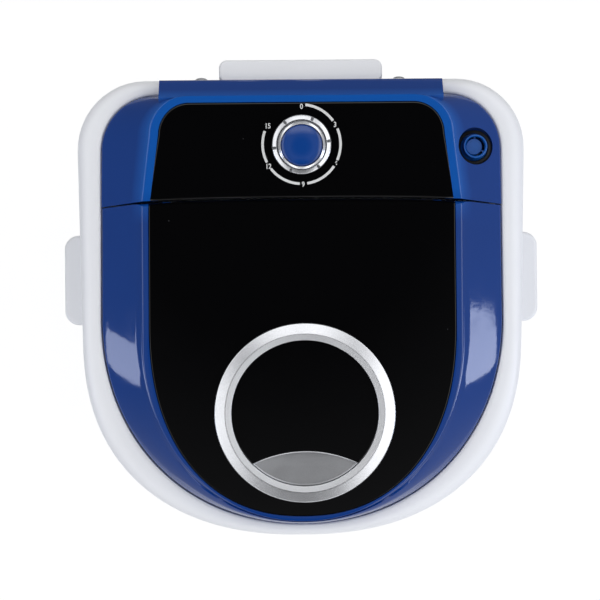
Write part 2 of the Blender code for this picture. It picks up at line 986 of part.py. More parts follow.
def inlet_duct():
    start, end = duct_ends()
    top = Vector((inlet_x, inlet_y, deck_z(inlet_y, -lip_depth) - spigot_tail - seat_gap))
    path = [top] + bend(start, top, end, duct_bend) + [end]
    return dress(tube("inlet_duct", path, spigot_radius, spigot_bore), "grey_plastic")


def inlet_spigot():
    floor = deck_z(inlet_y, well_floor)
    bottom = deck_z(inlet_y, -lip_depth) - spigot_tail
    top = deck_z(inlet_y, spigot_top)
    seat = floor + seat_gap
    made = turned("inlet_spigot", [
        (spigot_radius, top), (spigot_radius, seat + spigot_flange_height),
        (spigot_flange, seat + spigot_flange_height), (spigot_flange, seat),
        (spigot_radius, seat), (spigot_radius, bottom), (spigot_bore, bottom), (spigot_bore, top),
    ], steps=small_steps * 3 // 2, place=(inlet_x, inlet_y))
    return dress(made, "blue_plastic")


# Console

def console_housing():
    blue = console_outline(blue_half, blue_half, blue_rear, blue_corner, 0)
    crest = console_outline(crease_half, crest_half_rear, crest_rear, crest_corner, 0)
    top = console_outline(crease_half - crease_drop, crest_half_rear - crease_drop,
                          crest_rear - crease_drop, crest_corner, crease_drop)
    bottom = deck_top + seat_gap
    console = loft("console_housing", [
        on_deck(blue, bottom),
        on_deck(blue, skirt_height),
        on_deck(crest, panel_height - crease_drop),
        on_deck(top, panel_height),
    ])
    inner_rear = crest_rear - crease_drop - 2 * casing_wall
    skirt = [
        (inner_rear, deck_z(inner_rear, panel_height - crease_drop - casing_wall)),
        (crest_rear - crease_drop / 2, deck_z(crest_rear, panel_height - crease_drop)),
        (rear_skirt_reach, deck_z(rear_skirt_reach, rear_skirt_height + lid_wall / 2)),
        (rear_skirt_reach, deck_z(rear_skirt_reach, rear_skirt_height)),
        (inner_rear, deck_z(inner_rear, rear_skirt_height)),
    ]
    join(console, prism("rear_skirt", skirt, -rear_skirt_half, rear_skirt_half, "X"))
    inset = lid_wall
    cavity = loft("console_cavity", [
        on_deck(console_outline(blue_half - inset, blue_half - inset, blue_rear - inset,
                                blue_corner - inset, inset), bottom - overrun),
        on_deck(console_outline(blue_half - inset, blue_half - inset, blue_rear - inset,
                                blue_corner - inset, inset), skirt_height - inset / 2),
        on_deck(console_outline(crease_half - inset, crest_half_rear - inset,
                                crest_rear - inset, crest_corner - inset / 2, inset), ledge_low),
    ])
    cut(cavity, cylinder("well_post", well_radius + well_wall, deck_z(inlet_y, bottom) - 2 * overrun,
                         deck_z(inlet_y, panel_height) + overrun, (inlet_x, inlet_y),
                         steps=small_steps * 3 // 2))
    cut(console, cavity)
    recess = control_outline(-seat_gap, 0)
    edge = recess[:split_steps + 1]
    recess = [(x, y - overrun) for x, y in edge] + [edge[-1]] + recess[len(edge):] + [edge[0]]
    cut(console, loft("panel_recess", [
        on_deck(recess, recess_floor), on_deck(recess, panel_height + overrun)]))
    cut(console, drill("well", well_radius, deck_z(inlet_y, well_floor),
                          deck_z(inlet_y, panel_height) + overrun, (inlet_x, inlet_y),
                          steps=small_steps * 3 // 2))
    cut(console, drill("spigot_way", spigot_radius + seat_gap, deck_z(inlet_y, bottom) - overrun,
                          deck_z(inlet_y, well_floor) + overrun, (inlet_x, inlet_y),
                          steps=small_steps * 3 // 2))
    cut(console, drill("neck_hole", timer_neck + seat_gap, -panel_height, overrun,
                          parent=knob_frame))
    return dress(console, "blue_plastic")


def control_outline(inset, front_off):
    return console_outline(panel_half - inset, control_half_rear - inset, control_rear - inset,
                           control_corner - inset, front_off)


def control_panel():
    panel = loft("control_panel", [
        on_deck(control_outline(0, 0), panel_floor),
        on_deck(control_outline(0, 0), panel_height - crease_drop / 2),
        on_deck(control_outline(crease_drop / 2, crease_drop / 2), panel_height),
    ])
    cut(panel, drill("panel_hole", timer_neck + seat_gap, -panel_height / 2, overrun,
                        parent=knob_frame))
    return dress(panel, "black_gloss")


# Timer and knob, in the frame of the knob's axis: Z is square to the panel and zero on it

def timer_unit():
    top = ledge_low - panel_height - seat_gap
    body = box("timer_unit", (-timer_width / 2, -timer_depth / 2, top - timer_height),
               (timer_width / 2, timer_depth / 2, top), parent=knob_frame)
    neck_top = -seat_gap
    join(body, cylinder("timer_neck", timer_neck, top - timer_height / 2, neck_top,
                        parent=knob_frame))
    cut(body, drill("timer_bore", timer_shaft_radius + run_gap, top - timer_height * timer_bore_share,
                       overrun, parent=knob_frame))
    return dress(body, "cream_plastic")


def timer_shaft():
    low = ledge_low - panel_height - seat_gap - timer_height * timer_shaft_share
    shaft = cylinder("timer_shaft", timer_shaft_radius, low, timer_shaft_reach, parent=knob_frame)
    return dress(shaft, "steel")


def knob_skirt():
    low = knob_lift
    bore = over_flats(timer_shaft_radius + seat_gap, round_steps)
    skirt = turned("knob_skirt", [
        (skirt_radius - skirt_thickness / 4, low + skirt_thickness),
        (skirt_radius, low + skirt_thickness * skirt_edge_share), (skirt_radius, low),
        (bore, low), (bore, low + skirt_thickness),
    ], parent=knob_frame, steps=round_steps)
    for k in range(skirt_notches):
        angle = 2 * math.pi * (k + 0.5) / skirt_notches
        spot = (notch_reach * math.sin(angle), notch_reach * math.cos(angle))
        cut(skirt, cylinder("notch", notch_radius, low - overrun, low + skirt_thickness + overrun,
                            spot, parent=knob_frame, steps=small_steps - 2))
    return dress(skirt, "silver_trim")


def knob_ring():
    low = knob_lift + skirt_thickness + seat_gap
    inner = knob_ring_radius - knob_ring_wall
    ring = turned("knob_ring", [
        (inner + knob_ring_wall / 2, knob_height), (knob_ring_radius, knob_height - knob_ring_wall),
        (knob_ring_radius, low), (inner, low), (inner, knob_height - knob_ring_wall / 2),
    ], parent=knob_frame, steps=round_steps)
    return dress(ring, "silver_trim")


def knob_cap():
    low = knob_lift + skirt_thickness + seat_gap
    radius = knob_ring_radius - knob_ring_wall - seat_gap
    top = knob_height - knob_ring_wall / 2
    cap = turned("knob_cap", [
        (0, top), (radius - knob_ring_wall / 2, top), (radius, top - knob_ring_wall / 2),
        (radius, low), (0, low),
    ], parent=knob_frame, steps=round_steps)
    cut(cap, drill("cap_bore", timer_shaft_radius + seat_gap, low - overrun,
                      timer_shaft_reach + seat_gap, parent=knob_frame))
    return dress(cap, "blue_plastic")


# Lid

def lid_frame():
    blue = (blue_half, blue_front, blue_start, blue_power)
    crease = (crease_half, crease_front, crease_start, panel_power)
    band = (crease_half - crease_drop, crease_front - crease_drop, crease_start, panel_power)
    chamfer_start = pivot_w + lid_wall
    share = (chamfer_start - skirt_height) / (panel_height - crease_drop - skirt_height)
    crease_w = panel_height - crease_drop
    flat = mix(lid_outline(*blue), lid_outline(*crease), share)
    frame = loft("lid_frame", [
        on_deck(lid_outline(*blue), lid_bottom),
        on_deck(lid_outline(*blue), skirt_height),
        on_deck(flat, chamfer_start),
        on_deck(lid_outline(*crease, w=crease_w), crease_w),
        on_deck(lid_outline(*band, w=panel_height), panel_height),
    ])
    inset = lid_wall
    inner_blue = (blue_half - inset, blue_front - inset, blue_start, blue_power)
    inner_crease = (crease_half - inset, crease_front - inset, crease_start, panel_power)
    cut(frame, loft("lid_cavity", [
        on_deck(lid_outline(*inner_blue, inset), lid_bottom - overrun),
        on_deck(lid_outline(*inner_blue, inset), skirt_height - inset / 2),
        on_deck(lid_outline(*inner_crease, inset), ledge_low),
    ]))
    recess = (panel_half + seat_gap, panel_front + seat_gap, panel_start, panel_power)
    cut(frame, loft("lid_recess", [
        on_deck(lid_outline(*recess, -overrun), recess_floor),
        on_deck(lid_outline(*recess, -overrun), panel_height + overrun),
    ]))
    window = (panel_half - panel_ledge, panel_front - panel_ledge, panel_start, panel_power)
    rear_ledge = hinge_setback + eye_radius + 2 * slot_side + ledge_strip
    cut(frame, loft("lid_window", [
        on_deck(lid_outline(*window, rear_ledge), lid_bottom - overrun),
        on_deck(lid_outline(*window, rear_ledge), panel_height + overrun),
    ]))
    for side in (-1, 1):
        middle = side * hinge_x
        inner = post_width / 2 + slot_side
        outer = inner + knuckle_width
        join(frame, prism("knuckle", knuckle_profile(), middle - outer, middle + outer, "X"))
        cut(frame, prism("post_slot", slot_profile(), middle - inner, middle + inner, "X"))
        cut(frame, drill("knuckle_bore", pin_radius + run_gap, middle - outer - overrun,
                            middle + outer + overrun, (pivot.y, pivot.z), axis="X"))
    return dress(frame, "blue_plastic", lid_hinge)


def knuckle_profile():
    """Side view of a knuckle: from below the pin up into the ledge, and back into the end wall."""
    back = lid_end - lid_wall / 2
    front = pivot.y - eye_radius
    low = pivot.z - eye_radius
    top = -ledge_thickness / 2
    return [
        (front, low), (back, low),
        (back, deck_z(back, recess_floor + top)), (front, deck_z(front, recess_floor + top)),
    ]


def slot_profile():
    """Side view of the gap that the hinge post needs when the lid swings up."""
    front = pivot.y - eye_radius - 2 * slot_side
    back = lid_end + overrun
    low = deck_z(front, lid_bottom) - overrun
    return [
        (front, low), (back, low),
        (back, deck_z(back, recess_floor + seat_gap / 2)),
        (front, deck_z(front, recess_floor + seat_gap / 2)),
    ]


def lid_panel():
    plain = (panel_half, panel_front, panel_start, panel_power)
    edge = crease_drop / 2
    eased = (panel_half - edge, panel_front - edge, panel_start, panel_power)
    shoulder = panel_height - edge
    panel = loft("lid_panel", [
        on_deck(lid_outline(*plain, w=panel_floor), panel_floor),
        on_deck(lid_outline(*plain, w=shoulder), shoulder),
        on_deck(lid_outline(*eased, w=panel_height), panel_height),
    ])
    hole = lens_outline(0)
    cut(panel, loft("scoop_hole", [
        on_deck(hole, panel_floor - overrun), on_deck(hole, panel_height + overrun)]))
    return dress(panel, "black_gloss", lid_hinge)


def lid_ring():
    """Trim ring on the lid: a wide outer bevel up to a crest and a narrow inner bevel."""
    base = panel_height + seat_gap

    def circle(radius, w):
        return on_deck([(radius * math.cos(2 * math.pi * k / round_steps),
                         radius * math.sin(2 * math.pi * k / round_steps) - ring_y)
                        for k in range(round_steps)], w)

    ring = loft("lid_ring", [
        circle(ring_outer, base), circle(ring_outer, base + ring_edge),
        circle(ring_crest, base + ring_height), circle(ring_inner, base + ring_edge),
        circle(ring_inner, base),
    ], looped=True)
    return dress(ring, "silver_trim", lid_hinge)


def lid_scoop():
    top = panel_height - panel_thickness / 4
    low = top - scoop_depth
    scoop = loft("lid_scoop", [
        on_deck(lens_outline(scoop_draft), low),
        on_deck(lens_outline(seat_gap), top),
        on_deck(lens_outline(seat_gap + scoop_wall), top),
        on_deck(lens_outline(scoop_draft + scoop_wall), low + scoop_wall),
    ])
    return dress(scoop, "silver_trim", lid_hinge)


def hinge_pin(name, side):
    reach = post_width / 2 + slot_side + knuckle_width
    pin = cylinder(name, pin_radius, side * hinge_x - reach, side * hinge_x + reach,
                   (pivot.y, pivot.z), axis="X")
    return dress(pin, "steel")


# Drive train, on the tub's axis

def drive_shaft():
    body_low = pulley_height + pulley_width + seat_gap
    body_top = floor_top + seal_height + 2 * seat_gap
    top = floor_top + pulsator_lift + pulsator_hub_height * hub_bore_share
    shaft = turned("drive_shaft", [
        (0, top), (shaft_radius, top), (shaft_radius, body_top), (shaft_body_radius, body_top),
        (shaft_body_radius, body_low), (shaft_radius, body_low), (shaft_radius, shaft_bottom),
        (0, shaft_bottom),
    ], parent=drive_frame, steps=small_steps)
    cut(shaft, drill("screw_bore", screw_radius + seat_gap, top - screw_length - seat_gap,
                        top + overrun, parent=drive_frame, steps=8))
    return dress(shaft, "steel")


def pulsator():
    low = floor_top + pulsator_lift
    hub_top = low + pulsator_hub_height
    dish = low + pulsator_edge + (pulsator_hub_height - pulsator_edge) * pulsator_dish_share
    disc = turned("pulsator", [
        (0, hub_top - pulsator_edge / 2), (pulsator_hub / 2, hub_top),
        (pulsator_hub, hub_top - pulsator_edge), (pulsator_radius / 2, dish),
        (pulsator_radius, low + pulsator_edge),
        (pulsator_radius, low + pulsator_edge / 4), (pulsator_hub, low), (0, low),
    ], parent=drive_frame, steps=round_steps)
    inner = pulsator_hub * rib_root_share
    outer = pulsator_radius - pulsator_edge
    half = pulsator_rib_width / 2
    thin = half * rib_top_share
    for k in range(pulsator_ribs):
        angle = 2 * math.pi * k / pulsator_ribs
        rib = loft("rib", [
            level([(inner, -half), (outer, -half), (outer, half), (inner, half)],
                  low + pulsator_edge / 2),
            level([(inner, -thin), (outer - half, -thin), (outer - half, thin), (inner, thin)],
                  low + pulsator_rib_height),
        ], parent=drive_frame)
        rib.rotation_euler = (0, 0, angle)
        join(disc, rib)
    screw_seat = low + pulsator_hub_height * hub_bore_share + 2 * seat_gap
    cut(disc, drill("hub_bore", shaft_radius + seat_gap, low - overrun, screw_seat,
                       parent=drive_frame))
    cut(disc, drill("screw_way", screw_radius + seat_gap, screw_seat - overrun / 2,
                       hub_top + overrun, parent=drive_frame, steps=8))
    cut(disc, drill("head_recess", screw_head + 2 * seat_gap,
                       hub_top - screw_head_height, hub_top + overrun, parent=drive_frame))
    return dress(disc, "blue_plastic")


def pulsator_screw():
    seat = floor_top + pulsator_lift + pulsator_hub_height - screw_head_height + seat_gap
    tip = floor_top + pulsator_lift + pulsator_hub_height * hub_bore_share - screw_length
    screw = turned("pulsator_screw", [
        (0, seat + screw_head_height), (screw_head, seat + screw_head_height * head_edge_share),
        (screw_head, seat), (screw_radius, seat), (screw_radius, tip), (0, tip),
    ], parent=drive_frame, steps=small_steps)
    return dress(screw, "steel")


def shaft_seal():
    inner = over_flats(shaft_body_radius + run_gap, round_steps // 2)
    low = tub_floor_height
    seal = turned("shaft_seal", [
        (seal_flange, floor_top + seat_gap + seal_height), (seal_flange, floor_top + seat_gap),
        (drive_hole - 2 * seat_gap, floor_top + seat_gap), (drive_hole - 2 * seat_gap, low),
        (inner, low), (inner, floor_top + seat_gap + seal_height),
    ], parent=drive_frame, steps=round_steps // 2)
    return dress(seal, "rubber")


def bearing_housing():
    low = plate_top + seat_gap
    top = tub_floor_height - seat_gap
    seat = over_flats(bearing_outer + seat_gap, round_steps // 2)
    shoulder = shaft_body_radius + 6 * run_gap
    housing = turned("bearing_housing", [
        (housing_flange, top), (housing_flange, top - housing_flange_height),
        (housing_radius, top - 2 * housing_flange_height), (housing_radius, low),
        (seat, low), (seat, low + bearing_height), (shoulder, low + bearing_height),
        (shoulder, top - bearing_height), (seat, top - bearing_height), (seat, top),
    ], parent=drive_frame, steps=round_steps // 2)
    return dress(housing, "zinc_plate")


def bearing(name, low):
    bore = over_flats(shaft_body_radius + run_gap, small_steps)
    high = low + bearing_height - 2 * seat_gap
    made = turned(name, ring_profile(bore, bearing_outer, low, high), parent=drive_frame,
                  steps=small_steps)
    return dress(made, "steel")


def pulley(name, shaft, groove, outer, frame, steps, finish):
    """A pulley: two flanges, and between them a groove with slanted sides for the belt."""
    bore = over_flats(shaft + seat_gap, steps)
    low = pulley_height
    high = low + pulley_width
    flange_in = flange_width + groove_slant
    made = turned(name, [
        (outer, high), (outer, high - flange_width), (groove, high - flange_in),
        (groove, low + flange_in), (outer, low + flange_width), (outer, low), (bore, low),
        (bore, high),
    ], parent=frame, steps=steps)
    return dress(made, finish)


def pulley_nut():
    top = pulley_height - seat_gap
    nut = cylinder("pulley_nut", nut_radius, top - nut_height, top, parent=drive_frame, steps=6)
    cut(nut, drill("nut_bore", shaft_radius + seat_gap, top - nut_height - overrun,
                      top + overrun, parent=drive_frame))
    return dress(nut, "steel")


def belt_outline(driven, driver):
    """Loop round both pulleys: two arcs, with their flats at the radii, and the runs between."""
    lean = math.acos((driven - driver) / motor_distance)
    points = []
    for centre, radius, start, wrap, steps in (
        (tub_axis, driven, motor_angle + lean, 2 * math.pi - 2 * lean, round_steps // 2),
        (motor_axis, driver, motor_angle - lean, 2 * lean, small_steps // 2),
    ):
        corner = radius / math.cos(wrap / steps / 2)
        for k in range(steps + 1):
            angle = start + wrap * k / steps
            points.append((centre.x + corner * math.cos(angle), centre.y + corner * math.sin(angle)))
    return points


def drive_belt():
    middle = pulley_height + pulley_width / 2
    inner = belt_outline(groove_radius + 2 * run_gap, motor_groove_radius + 2 * run_gap)
    grown = belt_thickness + 2 * run_gap
    outer = belt_outline(groove_radius + grown, motor_groove_radius + grown)
    low = middle - belt_height / 2
    high = middle + belt_height / 2
    belt = loft("drive_belt", [level(outer, low), level(outer, high), level(inner, high),
                               level(inner, low)], looped=True)
    return dress(belt, "rubber")


# Motor, its bracket and the capacitor

def capsule_outline(radius):
    """Outline of the bracket plate: round ends about the tub's axis and the motor's."""
    points = []
    for centre, start in ((motor_axis, -math.pi / 2), (tub_axis, math.pi / 2)):
        for k in range(small_steps + 1):
            angle = motor_angle + start + math.pi * k / small_steps
            points.append((centre.x + radius * math.cos(angle),
                           centre.y + radius * math.sin(angle)))
    return points


def motor_bracket():
    plate = prism("motor_bracket", capsule_outline(plate_radius), plate_height, plate_top)
    cut(plate, drill("shaft_way", shaft_body_radius + 2 * bolt_radius, plate_height - overrun,
                        plate_top + overrun, tub_axis.to_2d()))
    cut(plate, drill("motor_way", motor_boss + 2 * seat_gap, plate_height - overrun,
                        plate_top + overrun, motor_axis.to_2d()))
    for place in boss_places():
        cut(plate, drill("bolt_way", bolt_radius + seat_gap, plate_height - overrun,
                            plate_top + overrun, place.to_2d(), steps=8))
    return dress(plate, "zinc_plate")


def bracket_bolt(name, place):
    seat = plate_height - seat_gap
    bolt = turned(name, [
        (0, plate_top + bolt_length - seat_gap), (bolt_radius, plate_top + bolt_length - seat_gap),
        (bolt_radius, seat), (bolt_head, seat), (bolt_head, seat - bolt_head_height),
        (0, seat - bolt_head_height),
    ], steps=8, place=place.to_2d())
    return dress(bolt, "steel")


def motor_body():
    low = plate_top + seat_gap
    top = low + motor_height
    boss = plate_height
    motor_steps = round_steps // 2
    bore = over_flats(motor_shaft_radius + run_gap, motor_steps)
    body = turned("motor_body", [
        (0, top), (motor_radius - motor_round, top), (motor_radius, top - motor_round),
        (motor_radius, low), (motor_boss, low), (motor_boss, boss), (bore, boss),
        (bore, top - motor_round), (0, top - motor_round),
    ], parent=motor_frame, steps=motor_steps)
    return dress(body, "motor_enamel")


def motor_shaft():
    top = plate_top + motor_height - 2 * motor_round
    shaft = cylinder("motor_shaft", motor_shaft_radius, shaft_bottom + nut_height, top,
                     parent=motor_frame)
    return dress(shaft, "steel")


def capacitor():
    low = base_height + base_thickness + seat_gap
    made = turned("capacitor", [
        (0, low + capacitor_height), (capacitor_radius - clamp_wall, low + capacitor_height),
        (capacitor_radius, low + capacitor_height - clamp_wall), (capacitor_radius, low), (0, low),
    ], steps=small_steps, place=(capacitor_x, tub_axis.y))
    return dress(made, "cream_plastic")


def capacitor_clamp():
    low = base_height + base_thickness + seat_gap
    inner = capacitor_radius + seat_gap
    outer = inner + clamp_wall
    clamp = turned("capacitor_clamp", [
        (outer, low + clamp_height), (outer, low + clamp_wall), (outer + 2 * clamp_wall,
         low + clamp_wall), (outer + 2 * clamp_wall, low), (inner, low), (inner, low + clamp_height),
    ], steps=small_steps, place=(capacitor_x, tub_axis.y))
    return dress(clamp, "zinc_plate")


# Drain

def drain_grate():
    low = floor_top + seat_gap
    grate = cylinder("drain_grate", grate_radius, low, low + grate_thickness, (drain_x, drain_y),
                     steps=round_steps // 2)
    for k in range(grate_slots):
        x = drain_x + (k - (grate_slots - 1) / 2) * 2 * grate_slot_width
        half = drain_bore * grate_slot_share
        cut(grate, box("grate_slot", (x - grate_slot_width / 2, drain_y - half, low - overrun),
                       (x + grate_slot_width / 2, drain_y + half, low + overrun)))
    return dress(grate, "grey_plastic")


def drain_hose():
    top = Vector((drain_x, drain_y, tub_floor_height - seat_gap))
    low = Vector((drain_x, drain_y, tub_floor_height - hose_drop))
    turn = Vector((hose_x, drain_y + hose_run, outlet_height))
    end = Vector((hose_x, casing_rear - hose_end_inset, outlet_height))
    path = [top] + bend(low, top, turn, 2 * hose_bore) + bend(turn, low, end, 2 * hose_bore) + [end]
    return dress(tube("drain_hose", path, hose_radius, hose_bore), "rubber")


def drain_outlet():
    inner = drain_bore
    nozzle = hose_radius - outlet_flange_height
    start = casing_rear - hose_end_inset + seat_gap
    flange = casing_rear + seat_gap
    end = flange + outlet_reach
    made = turned("drain_outlet", [
        (hose_radius, -start), (hose_radius, -flange), (outlet_flange, -flange),
        (outlet_flange, -flange - outlet_flange_height), (nozzle, -flange - outlet_flange_height),
        (nozzle, -end), (inner, -end), (inner, -start),
    ], steps=small_steps)
    made.rotation_euler = (math.pi / 2, 0, 0)
    made.location = (hose_x, 0, outlet_height)
    return dress(made, "grey_plastic")


# Rear cover, handles, hook and gland on the casing

def rounded_box(left, right, front, back, corner, rear_only=False):
    """Plan outline of a box with rounded corners; rear_only leaves the front ones sharp."""
    points = []
    near = 0 if rear_only else corner
    for x, y, radius, first in (
        (right - corner, back - corner, corner, 0), (left + corner, back - corner, corner, 1),
        (left + near, front + near, near, 2), (right - near, front + near, near, 3),
    ):
        if radius == 0:
            points.append((x, y))
            continue
        start = first * math.pi / 2
        points += corner_arc(x, y, radius, start, start + math.pi / 2)
    return points


def rear_cover():
    front = casing_rear + seat_gap
    top = deck_z(casing_rear, cover_top)
    low_z = cover_low
    step = deck_z(casing_rear, 2 * seat_gap)
    plain = rounded_box(-cover_half, cover_half, front, cover_outer, cover_corner, True)
    lipped = rounded_box(-cover_half, cover_half, front - cover_lip - seat_gap, cover_outer,
                         cover_corner, True)
    eased = rounded_box(-cover_half + cover_wall / 2, cover_half - cover_wall / 2,
                        front - cover_lip, cover_outer - cover_wall / 2, cover_corner, True)
    cover = loft("rear_cover", [
        level(plain, low_z), level(plain, step), level(lipped, step + seat_gap),
        level(lipped, top - cover_wall / 2), level(eased, top),
    ])
    inner = rounded_box(-cover_half + cover_wall, cover_half - cover_wall, front - overrun,
                        cover_outer - cover_wall, cover_corner - cover_wall, True)
    cut(cover, loft("cover_cavity", [level(inner, low_z + cover_wall),
                                     level(inner, step - cover_wall)]))
    for x, z in ear_places():
        join(cover, prism("ear", ear_outline(x, z), front, front + ear_thickness, "Y"))
        cut(cover, drill("ear_hole", screw_radius + seat_gap, front - overrun,
                            front + ear_thickness + overrun, (x, z), axis="Y", steps=8))
    return dress(cover, "white_plastic")


def ear_outline(x, z):
    """A screw ear seen from behind: round end about the screw, square root in the side wall."""
    side = math.copysign(1, x)
    root = side * (cover_half - cover_wall / 2)
    points = [(root, z + ear_radius), (root, z - ear_radius)]
    for k in range(small_steps // 2 + 1):
        angle = -math.pi / 2 + math.pi * k / (small_steps // 2)
        points.append((x + side * ear_radius * math.cos(angle), z + ear_radius * math.sin(angle)))
    return points


def rear_cover_screw(name, place):
    seat = casing_rear + ear_thickness + 2 * seat_gap
    edge = seat + screw_head_height * head_edge_share
    head = seat + screw_head_height
    tip = seat - screw_length
    screw = turned(name, [
        (0, -tip), (screw_radius, -tip), (screw_radius, -seat), (screw_head, -seat),
        (screw_head, -edge), (screw_head * head_top_share, -head), (0, -head),
    ], steps=small_steps)
    screw.rotation_euler = (math.pi / 2, 0, 0)
    screw.location = (place[0], 0, place[1])
    return dress(screw, "steel")


def handle(name, side):
    """A grip on the casing's side: a rounded block, open underneath for the fingers."""
    near = side * (casing_half + seat_gap)
    far = side * handle_outer
    left, right = sorted((near, far))
    front = handle_y - handle_length / 2
    back = handle_y + handle_length / 2
    top = handle_low + handle_height

    def grip(inset):
        """Outline with the far corners round and the ones at the wall sharp."""
        reach = handle_outer - inset
        wall = casing_half + seat_gap
        corner = handle_corner
        points = [(wall, front + inset)]
        points += corner_arc(reach - corner, front + inset + corner, corner, -math.pi / 2, 0)
        points += corner_arc(reach - corner, back - inset - corner, corner, 0, math.pi / 2)
        points.append((wall, back - inset))
        return [(side * x, y) for x, y in (points if side > 0 else reversed(points))]

    ease = handle_wall / 2
    made = loft(name, [
        level(grip(0), handle_low), level(grip(0), top - ease),
        level(grip(ease / 3), top - ease / 3), level(grip(ease), top),
    ])
    pocket = rounded_box(left + handle_wall, right - handle_wall, front + handle_wall,
                         back - handle_wall, handle_wall)
    cut(made, prism(name + "_pocket", pocket, handle_low - overrun, top - handle_wall))
    return dress(made, "white_plastic")


def hose_hook():
    near = casing_half + seat_gap
    far = near + hook_reach
    top = hook_low + hook_height
    profile = [
        (near, hook_low), (far, hook_low), (far, hook_low + hook_lip),
        (far - hook_wall, hook_low + hook_lip), (far - hook_wall, hook_low + hook_wall),
        (near + hook_wall, hook_low + hook_wall), (near + hook_wall, top), (near, top),
    ]
    hook = prism("hose_hook", profile, hook_y - hook_width / 2, hook_y + hook_width / 2, "Y")
    return dress(hook, "white_plastic")


def cord_gland():
    flange = casing_rear + seat_gap
    end = flange + gland_flange_height
    start = casing_rear - casing_wall - gland_tail
    made = turned("cord_gland", [
        (gland_radius, -start), (gland_radius, -flange), (gland_flange, -flange),
        (gland_flange, -end + gland_flange_height / 2), (gland_radius, -end),
        (gland_bore, -end), (gland_bore, -start),
    ], steps=small_steps)
    made.rotation_euler = (math.pi / 2, 0, 0)
    made.location = (gland_x, 0, gland_height)
    return dress(made, "rubber")


def build():
    outer_casing()
    base_pan()
    for name, place in foot_places().items():
        foot(name, place)
    top_deck()
    wash_tub()
    inlet_spigot()
    inlet_duct()
    console_housing()
    control_panel()
    timer_unit()
    timer_shaft()
    knob_skirt()
    knob_ring()
    knob_cap()
    lid_frame()
    lid_panel()
    lid_ring()
    lid_scoop()
    hinge_pin("hinge_pin_left", -1)
    hinge_pin("hinge_pin_right", 1)
    pulsator()
    pulsator_screw()
    drive_shaft()
    shaft_seal()
    bearing_housing()
    bearing("lower_bearing", plate_top + 2 * seat_gap)
    bearing("upper_bearing", tub_floor_height - bearing_height)
    pulley("driven_pulley", shaft_radius, groove_radius, pulley_radius, drive_frame,
           round_steps, "grey_plastic")
    pulley("motor_pulley", motor_shaft_radius, motor_groove_radius, motor_pulley_radius,
           motor_frame, small_steps, "zinc_plate")
    pulley_nut()
    drive_belt()
    motor_body()
    motor_shaft()
    motor_bracket()
    for k, place in enumerate(boss_places()):
        bracket_bolt("bracket_bolt_%d" % (k + 1), place)
    capacitor()
    capacitor_clamp()
    drain_grate()
    drain_hose()
    drain_outlet()
    rear_cover()
    for k, place in enumerate(ear_places()):
        rear_cover_screw("rear_cover_screw_%d" % (k + 1), place)
    handle("left_handle", -1)
    handle("right_handle", 1)
    hose_hook()
    cord_gland()


build()
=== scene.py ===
import json
import math

import bmesh
import bpy
from mathutils import Matrix, Vector

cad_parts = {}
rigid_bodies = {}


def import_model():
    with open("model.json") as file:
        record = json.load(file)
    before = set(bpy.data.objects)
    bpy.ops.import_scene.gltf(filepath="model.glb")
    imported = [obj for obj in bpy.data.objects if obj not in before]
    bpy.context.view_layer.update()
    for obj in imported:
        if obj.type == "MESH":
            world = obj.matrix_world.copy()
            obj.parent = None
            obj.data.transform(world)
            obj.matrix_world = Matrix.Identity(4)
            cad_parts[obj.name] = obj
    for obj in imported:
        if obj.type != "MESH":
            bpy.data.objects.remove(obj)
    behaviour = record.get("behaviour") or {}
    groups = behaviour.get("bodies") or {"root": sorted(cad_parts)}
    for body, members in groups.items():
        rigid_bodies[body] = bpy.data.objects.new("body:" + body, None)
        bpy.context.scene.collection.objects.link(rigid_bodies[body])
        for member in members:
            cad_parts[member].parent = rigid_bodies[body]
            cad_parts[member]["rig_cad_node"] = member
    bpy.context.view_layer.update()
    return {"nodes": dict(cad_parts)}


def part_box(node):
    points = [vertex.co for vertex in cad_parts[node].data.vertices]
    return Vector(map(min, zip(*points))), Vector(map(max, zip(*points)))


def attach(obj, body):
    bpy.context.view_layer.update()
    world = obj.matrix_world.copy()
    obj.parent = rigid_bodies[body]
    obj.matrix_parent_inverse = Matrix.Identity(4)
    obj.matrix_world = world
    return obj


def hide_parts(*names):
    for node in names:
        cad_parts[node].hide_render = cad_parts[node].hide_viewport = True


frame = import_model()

bl_info = {
    "name": "Top-loading washing machine",
    "version": (1, 0, 0),
    "blender": (4, 5, 0),
    "location": "3D View > Sidebar > Washing machine",
    "description": "Builds the shells, lid, knob, fittings and finishes of a small washing machine",
    "category": "Add Mesh",
}

# The casing's box in the frame: the plan's origin is found from its front edge
CASING_LOW, CASING_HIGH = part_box("outer_casing")

# Measures that several pieces share, in metres
FIT = 0.0003  # play between two pieces that fit together
TOE = 0.006  # how far the casing is drawn in at its foot
PIN_DROP = 0.0041  # from the underside of the panels down to the hinge pins
PIN_HOLE = 0.0023  # radius of the holes for the hinge pins
HINGE_INSET = 0.027  # from the crease of the blue slopes in to the hinges
HINGE_ROUND = 0.0035  # radius of the hinge's posts, and reach of its knuckles
ON_AXIS = 0.00001  # radius of the ring that closes a turned piece on its axis
OVER, UNDER = 0.04, -0.02  # heights from the rim that lie clear of what is cut
QUARTER = math.pi / 2


def linear(hex_colour):
    """An sRGB hex colour as the linear values that Blender works in."""
    channels = [int(hex_colour[k:k + 2], 16) / 255 for k in (0, 2, 4)]
    return [c / 12.92 if c <= 0.04045 else ((c + 0.055) / 1.055) ** 2.4 for c in channels]


def length(name, description, default):
    return bpy.props.FloatProperty(name=name, description=description, default=default,
                                   unit="LENGTH", subtype="DISTANCE", precision=4)


def colour(name, description, hex_colour):
    return bpy.props.FloatVectorProperty(name=name, description=description, subtype="COLOR",
                                         default=linear(hex_colour), min=0, max=1)


# Sizes and colours that a user would change

